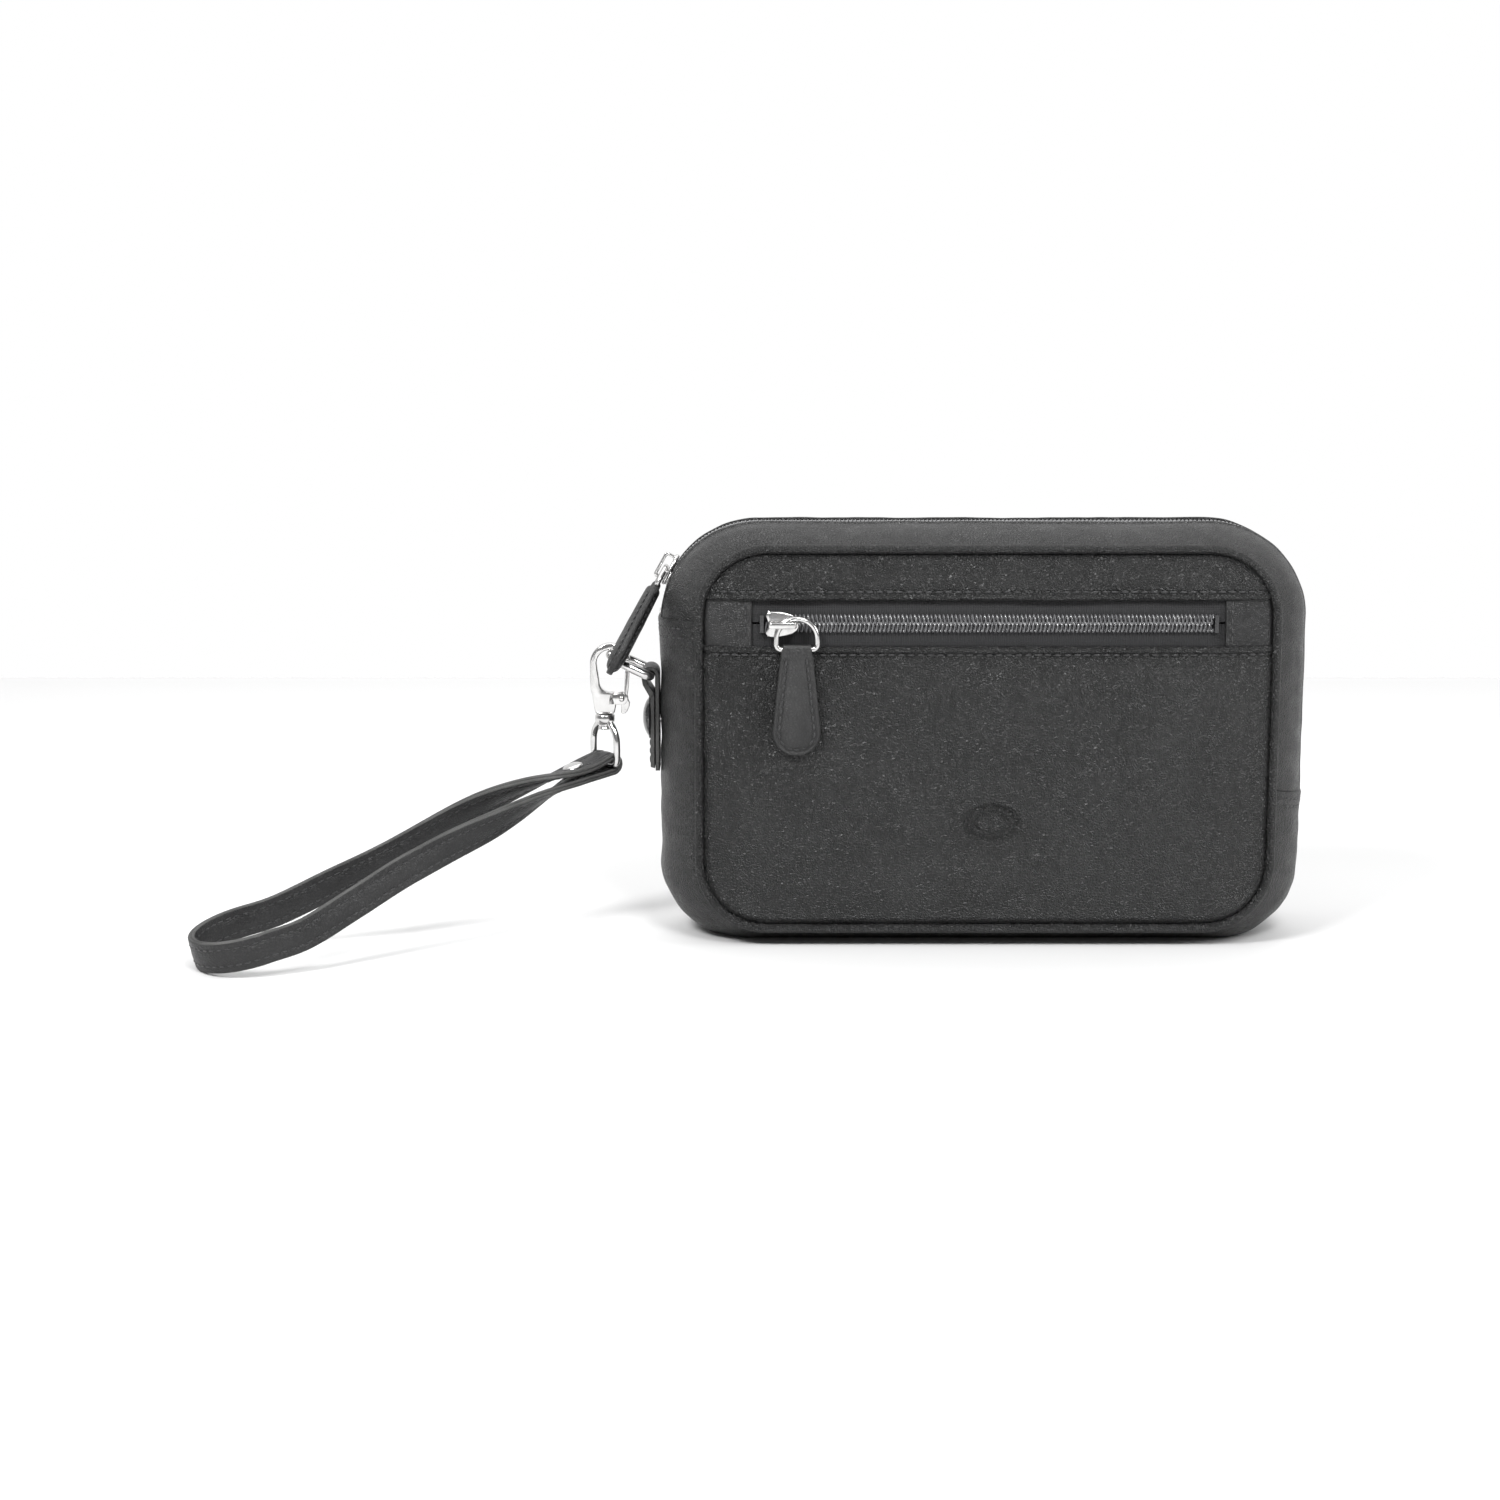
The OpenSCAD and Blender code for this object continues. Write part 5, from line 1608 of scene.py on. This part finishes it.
# ------------------------------------------------------------------ wrist strap
@dataclass
class WristStrap:
    """Closed loop of stitched leather that hangs from the swivel eye."""

    width: float = 10.0
    thick: float = 2.3
    yaw: float = math.radians(-51)
    route: tuple = ((-123.432, 0, 55.670), (-133, -7.6, 53), (-149, -15, 47.2), (-168, -22.5, 38.7),
                    (-187, -30.5, 29.3), (-206, -39, 20), (-221, -45.7, 12.7), (-233, -51, 9.5))
    spread: tuple = (2.45, 1.65, 3.4, 7.0, 10.5, 14.3, 17.3, 18.0)
    twist: tuple = (0, 0, 40, 76, 90, 90, 90, 90)

    def _value(self, values: Sequence, u: float) -> float | Vector:
        """Gives a smooth value through a list.

        Args:
            values: Numbers or vectors.
            u: Place counted in list steps.

        Returns:
            The value.
        """
        n = len(values) - 1
        k = min(n - 1, int(u))
        f = u - k
        b, c = values[k], values[k + 1]
        a = values[k - 1] if k else 2 * b - c
        d = values[k + 2] if k < n - 1 else 2 * c - b
        square, cube = 2 * a - 5 * b + 4 * c - d, 3 * b - a - 3 * c + d
        return (2 * b + (c - a) * f + square * f * f + cube * f ** 3) / 2

    def _frame(self, u: float) -> tuple[Vector, Vector, Vector]:
        """Gives the centre, heading and spread direction.

        Args:
            u: Place along the route.

        Returns:
            Three vectors.
        """
        points = [Vector(p) for p in self.route]
        last = len(points) - 1
        if u < 0.02:
            ahead = Vector((math.sin(self.yaw), -math.cos(self.yaw), -0.25)).normalized()
        else:
            behind = self._value(points, max(0, u - 0.02))
            ahead = (self._value(points, min(last, u + 0.02)) - behind).normalized()
        side = Vector((0, 0, 1)).cross(ahead).normalized()
        rise = ahead.cross(side).normalized()
        w = math.radians(self._value(self.twist, u))
        return self._value(points, u), ahead, rise * math.cos(w) - side * math.sin(w)

    def stations(self) -> list[tuple[Vector, Vector, Vector]]:
        """Gives centre, width direction and inward direction all round the loop.

        Returns:
            The stations.
        """
        last = len(self.route) - 1
        found = []

        def add(p: Vector, ahead: Vector, inward: Vector) -> None:
            """Adds one station."""
            found.append((p, ahead.cross(inward).normalized(), inward))

        us = graded(0.35, last - 0.06, 0.055)
        for s, order in ((1, us), (-1, list(reversed(us)))):
            for u in order:
                c, t, d = self._frame(u)
                add(c + s * d * self._value(self.spread, u), s * t, -s * d)
            c, t, d = self._frame(float(last) if s > 0 else 0.0)
            t, d = (t, d) if s > 0 else (-t, -d)
            r = self.spread[-1] if s > 0 else self.spread[0]
            for k in range(25):
                a = math.pi * k / 24
                out = d * math.cos(a) + t * math.sin(a)
                add(c + out * r, t * math.cos(a) - d * math.sin(a), -out)
        return found

    def build(self) -> None:
        """Builds the strap, its stitches and its rivet."""
        h, w, r = self.thick / 2, self.width / 2, 0.55
        upper = [(w - 1.9, h), (w - 2.3, h - 0.16), (w - 2.7, h), (0, h + 0.12), (-w + 2.7, h),
                 (-w + 2.3, h - 0.16), (-w + 1.9, h)]
        corners = ((w - r, h - r, 0), (-w + r, h - r, 90), (-w + r, -h + r, 180), (w - r, -h + r, 270))
        rim = []
        for cw, ch, a in corners:
            rim += arc_points(cw, ch, r, a, a + 90, 4)
            if a == 0:
                rim += upper
            elif a == 90:
                rim += [(-w, 0.16), (-w + 0.22, 0.0), (-w, -0.16)]
            elif a == 180:
                rim += [(-x, -y) for x, y in upper]
            else:
                rim += [(w, -0.16), (w - 0.22, 0.0), (w, 0.16)]
        loops, stations = [], self.stations()
        for p, across, inward in stations:
            ripple = 0.10 * soft(p.x, p.y, p.z, 13.0, 2.0)
            loops.append([p + across * a + inward * (b + ripple) for a, b in rim])
        sketch = Sketch("strap_leather")
        sketch.sweep(loops, True)
        strap = sketch.finish(STRAP, "wrist_strap", ["wrist_strap"])
        strap.data.materials.append(EDGE.material())
        n = len(rim)
        for index, face in enumerate(strap.data.polygons):
            k = (index % n)
            a, b = rim[k], rim[(k + 1) % n]
            face.material_index = 1 if min(abs(a[0]), abs(b[0])) > w - 0.45 else 0
        rows = Sketch("strap_stitches")
        for side in (-1, 1):
            for face in (-1, 1):
                path = [p + across * side * (w - 2.3) + inward * face * (h - 0.1)
                        for p, across, inward in stations]
                keys = list(zip(path, [s[2] * face for s in stations]))

                def normal(p: Vector, keys: list = keys) -> Vector:
                    """Gives the direction out of the strap at a point."""
                    return min(keys, key=lambda k: (k[0] - p).length_squared)[1]

                rows.stitches(path, normal, 2.9, 2.1, 0.27)
        rows.finish(THREAD, "wrist_strap", face_out=False)
        c, _, d = self._frame(1.0)
        reach = self.spread[1] + 1.2
        rivet = Sketch("strap_rivet_metal")
        for s in (-1, 1):
            turned = (s * d).to_track_quat("Z", "Y").to_matrix().to_4x4()
            rivet.lathe([(0, 0.95), (1.4, 0.9), (2.5, 0.7), (3.2, 0.35), (3.4, 0.1), (3.35, 0), (0, 0)],
                        Matrix.Translation(c + s * d * reach) @ turned, 32)
        rivet.lathe([(0, -reach), (1.2, -reach), (1.2, reach), (0, reach)],
                    Matrix.Translation(c) @ d.to_track_quat("Z", "Y").to_matrix().to_4x4(), 16)
        rivet.finish(CHROME, "wrist_strap", ["strap_rivet"])


# ------------------------------------------------------------------ the rest
@dataclass
class Plain:
    """CAD nodes that are shown as they are, with their finishes."""

    looks: dict[str, Finish] = field(default_factory=lambda: {
        "front_board": BOARD, "back_board": BOARD, "base_board": BOARD, "main_zip_stops": NICKEL,
        "pocket_zip_stops": ENAMEL, "stud_post": CHROME, "lever_pin": CHROME, "lever_spring": SPRING})

    def build(self) -> None:
        """Paints the nodes."""
        for name, look in self.looks.items():
            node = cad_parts[name]
            node.data.materials.clear()
            node.data.materials.append(look.material())
            log.info("%s: CAD node, %s", name, look.name)


@dataclass
class Studio:
    """Floor, lights and camera."""

    target: Vector = field(default_factory=lambda: Vector((-0.0757, -0.029, 0.06495)))
    pitch: float = 10.0
    distance: float = 0.9
    lens: float = 67.6

    def build(self) -> None:
        """Builds the stage."""
        sketch = Sketch("floor")
        sketch.sheet(graded(-2600, 2600, 400), graded(-2600, 560, 395), lambda x, y: Vector((x, y, -0.05)))
        kit = NodeKit("pale_floor")
        cloud = kit.spread(kit.noise(3.0), 0.0, 1.0)
        kit.set(Base_Color=kit.mix(cloud, (0.65, 0.65, 0.65), (0.63, 0.63, 0.63)), Roughness=0.6)
        bmesh.ops.scale(sketch.bm, vec=(MM, MM, MM), verts=sketch.bm.verts)
        data = bpy.data.meshes.new("floor")
        sketch.bm.to_mesh(data)
        sketch.bm.free()
        floor = bpy.data.objects.new("floor", data)
        data.materials.append(kit.material)
        bpy.context.scene.collection.objects.link(floor)
        self._surround()
        self._light("top_light", (-0.2, 0.3, 2.0), (-0.05, 0, 0.05), 2.2, 22.0)
        self._light("key_light", (-0.62, -0.75, 0.95), (-0.05, 0, 0.08), 0.30, 15.0)
        self._light("front_light", (0.30, -1.1, 1.25), (0.0, 0, 0.06), 0.45, 17.0)
        self._light("right_light", (1.1, -0.3, 0.55), (0.05, 0, 0.07), 0.4, 6.0)
        bpy.context.scene.view_settings.view_transform = "Standard"
        self._camera()

    def _surround(self) -> None:
        """Adds a white surround behind the object that falls to grey in front of it."""
        world = bpy.data.worlds.new("studio")
        bpy.context.scene.world = world
        world.use_nodes = True
        tree = world.node_tree
        ramp = tree.nodes.new("ShaderNodeValToRGB")
        ramp.color_ramp.elements[0].position, ramp.color_ramp.elements[0].color = 0.38, (0.26, 0.26, 0.262, 1)
        ramp.color_ramp.elements[1].position, ramp.color_ramp.elements[1].color = 0.80, (1.0, 1.0, 1.0, 1)
        turned = tree.nodes.new("ShaderNodeMapRange")
        turned.inputs["From Min"].default_value = -1.0
        parts = tree.nodes.new("ShaderNodeSeparateXYZ")
        coords = tree.nodes.new("ShaderNodeTexCoord")
        tree.links.new(coords.outputs["Generated"], parts.inputs[0])
        tree.links.new(parts.outputs["Y"], turned.inputs["Value"])
        tree.links.new(turned.outputs["Result"], ramp.inputs["Fac"])
        tree.links.new(ramp.outputs["Color"], tree.nodes["Background"].inputs["Color"])
        tree.nodes["Background"].inputs["Strength"].default_value = 1.0

    def _light(self, name: str, place: Sequence[float], aim: Sequence[float], size: float,
               power: float) -> None:
        """Adds a square soft light.

        Args:
            name: Its name.
            place: Position in metres.
            aim: Point that it faces, in metres.
            size: Side length in metres.
            power: Power in watts.
        """
        lamp = bpy.data.lights.new(name, "AREA")
        lamp.energy, lamp.size = power, size
        made = bpy.data.objects.new(name, lamp)
        made.location = place
        made.rotation_euler = (Vector(aim) - Vector(place)).to_track_quat("-Z", "Y").to_euler()
        bpy.context.scene.collection.objects.link(made)

    def _camera(self) -> None:
        """Adds the camera, a little above the bag and square to its front."""
        a = math.radians(self.pitch)
        lens = bpy.data.cameras.new("camera")
        lens.lens, lens.sensor_width = self.lens, 36.0
        lens.clip_start, lens.clip_end = 0.01, 20.0
        camera = bpy.data.objects.new("camera", lens)
        camera.location = self.target + Vector((0, -math.cos(a), math.sin(a))) * self.distance
        camera.rotation_euler = (math.radians(90 - self.pitch), 0, 0)
        bpy.context.scene.collection.objects.link(camera)
        bpy.context.scene.camera = camera


def main() -> None:
    """Builds the whole scene in order."""
    logging.basicConfig(level=logging.INFO, format="%(message)s")
    Studio().build()
    Shell().build()
    Zips().build()
    Interior().build()
    pocket_slider = shift(-65.5, POCKET_ZIP_FACE - 0.25, 105.75) @ turn("X", 90) @ turn("Z", 180)
    pocket_ring = shift(*POCKET_RING_PIVOT)
    Puller("pocket", pocket_slider, pocket_ring, 3.0, ("pocket_slider", "pocket_ring", "pocket_pull"),
           ("pocket_slider", "pocket_pull_ring", "pocket_pull")).build()
    arc = shift(*CORNER_CENTRE) @ turn("Y", MAIN_SLIDER_ANGLE)
    main_slider = arc @ shift(-32.05, 0, 0) @ turn("Y", -90) @ turn("Z", 180)
    main_ring = arc @ shift(-34.35, 0, -6.5) @ turn("Z", 90) @ turn("Y", 38)
    Puller("main", main_slider, main_ring, 2.5, ("main_slider", "main_ring", "main_pull"),
           ("main_slider", "main_pull_ring", "main_pull")).build()
    SideFittings().build()
    WristStrap().build()
    Plain().build()


if __name__ == "__main__":
    main()
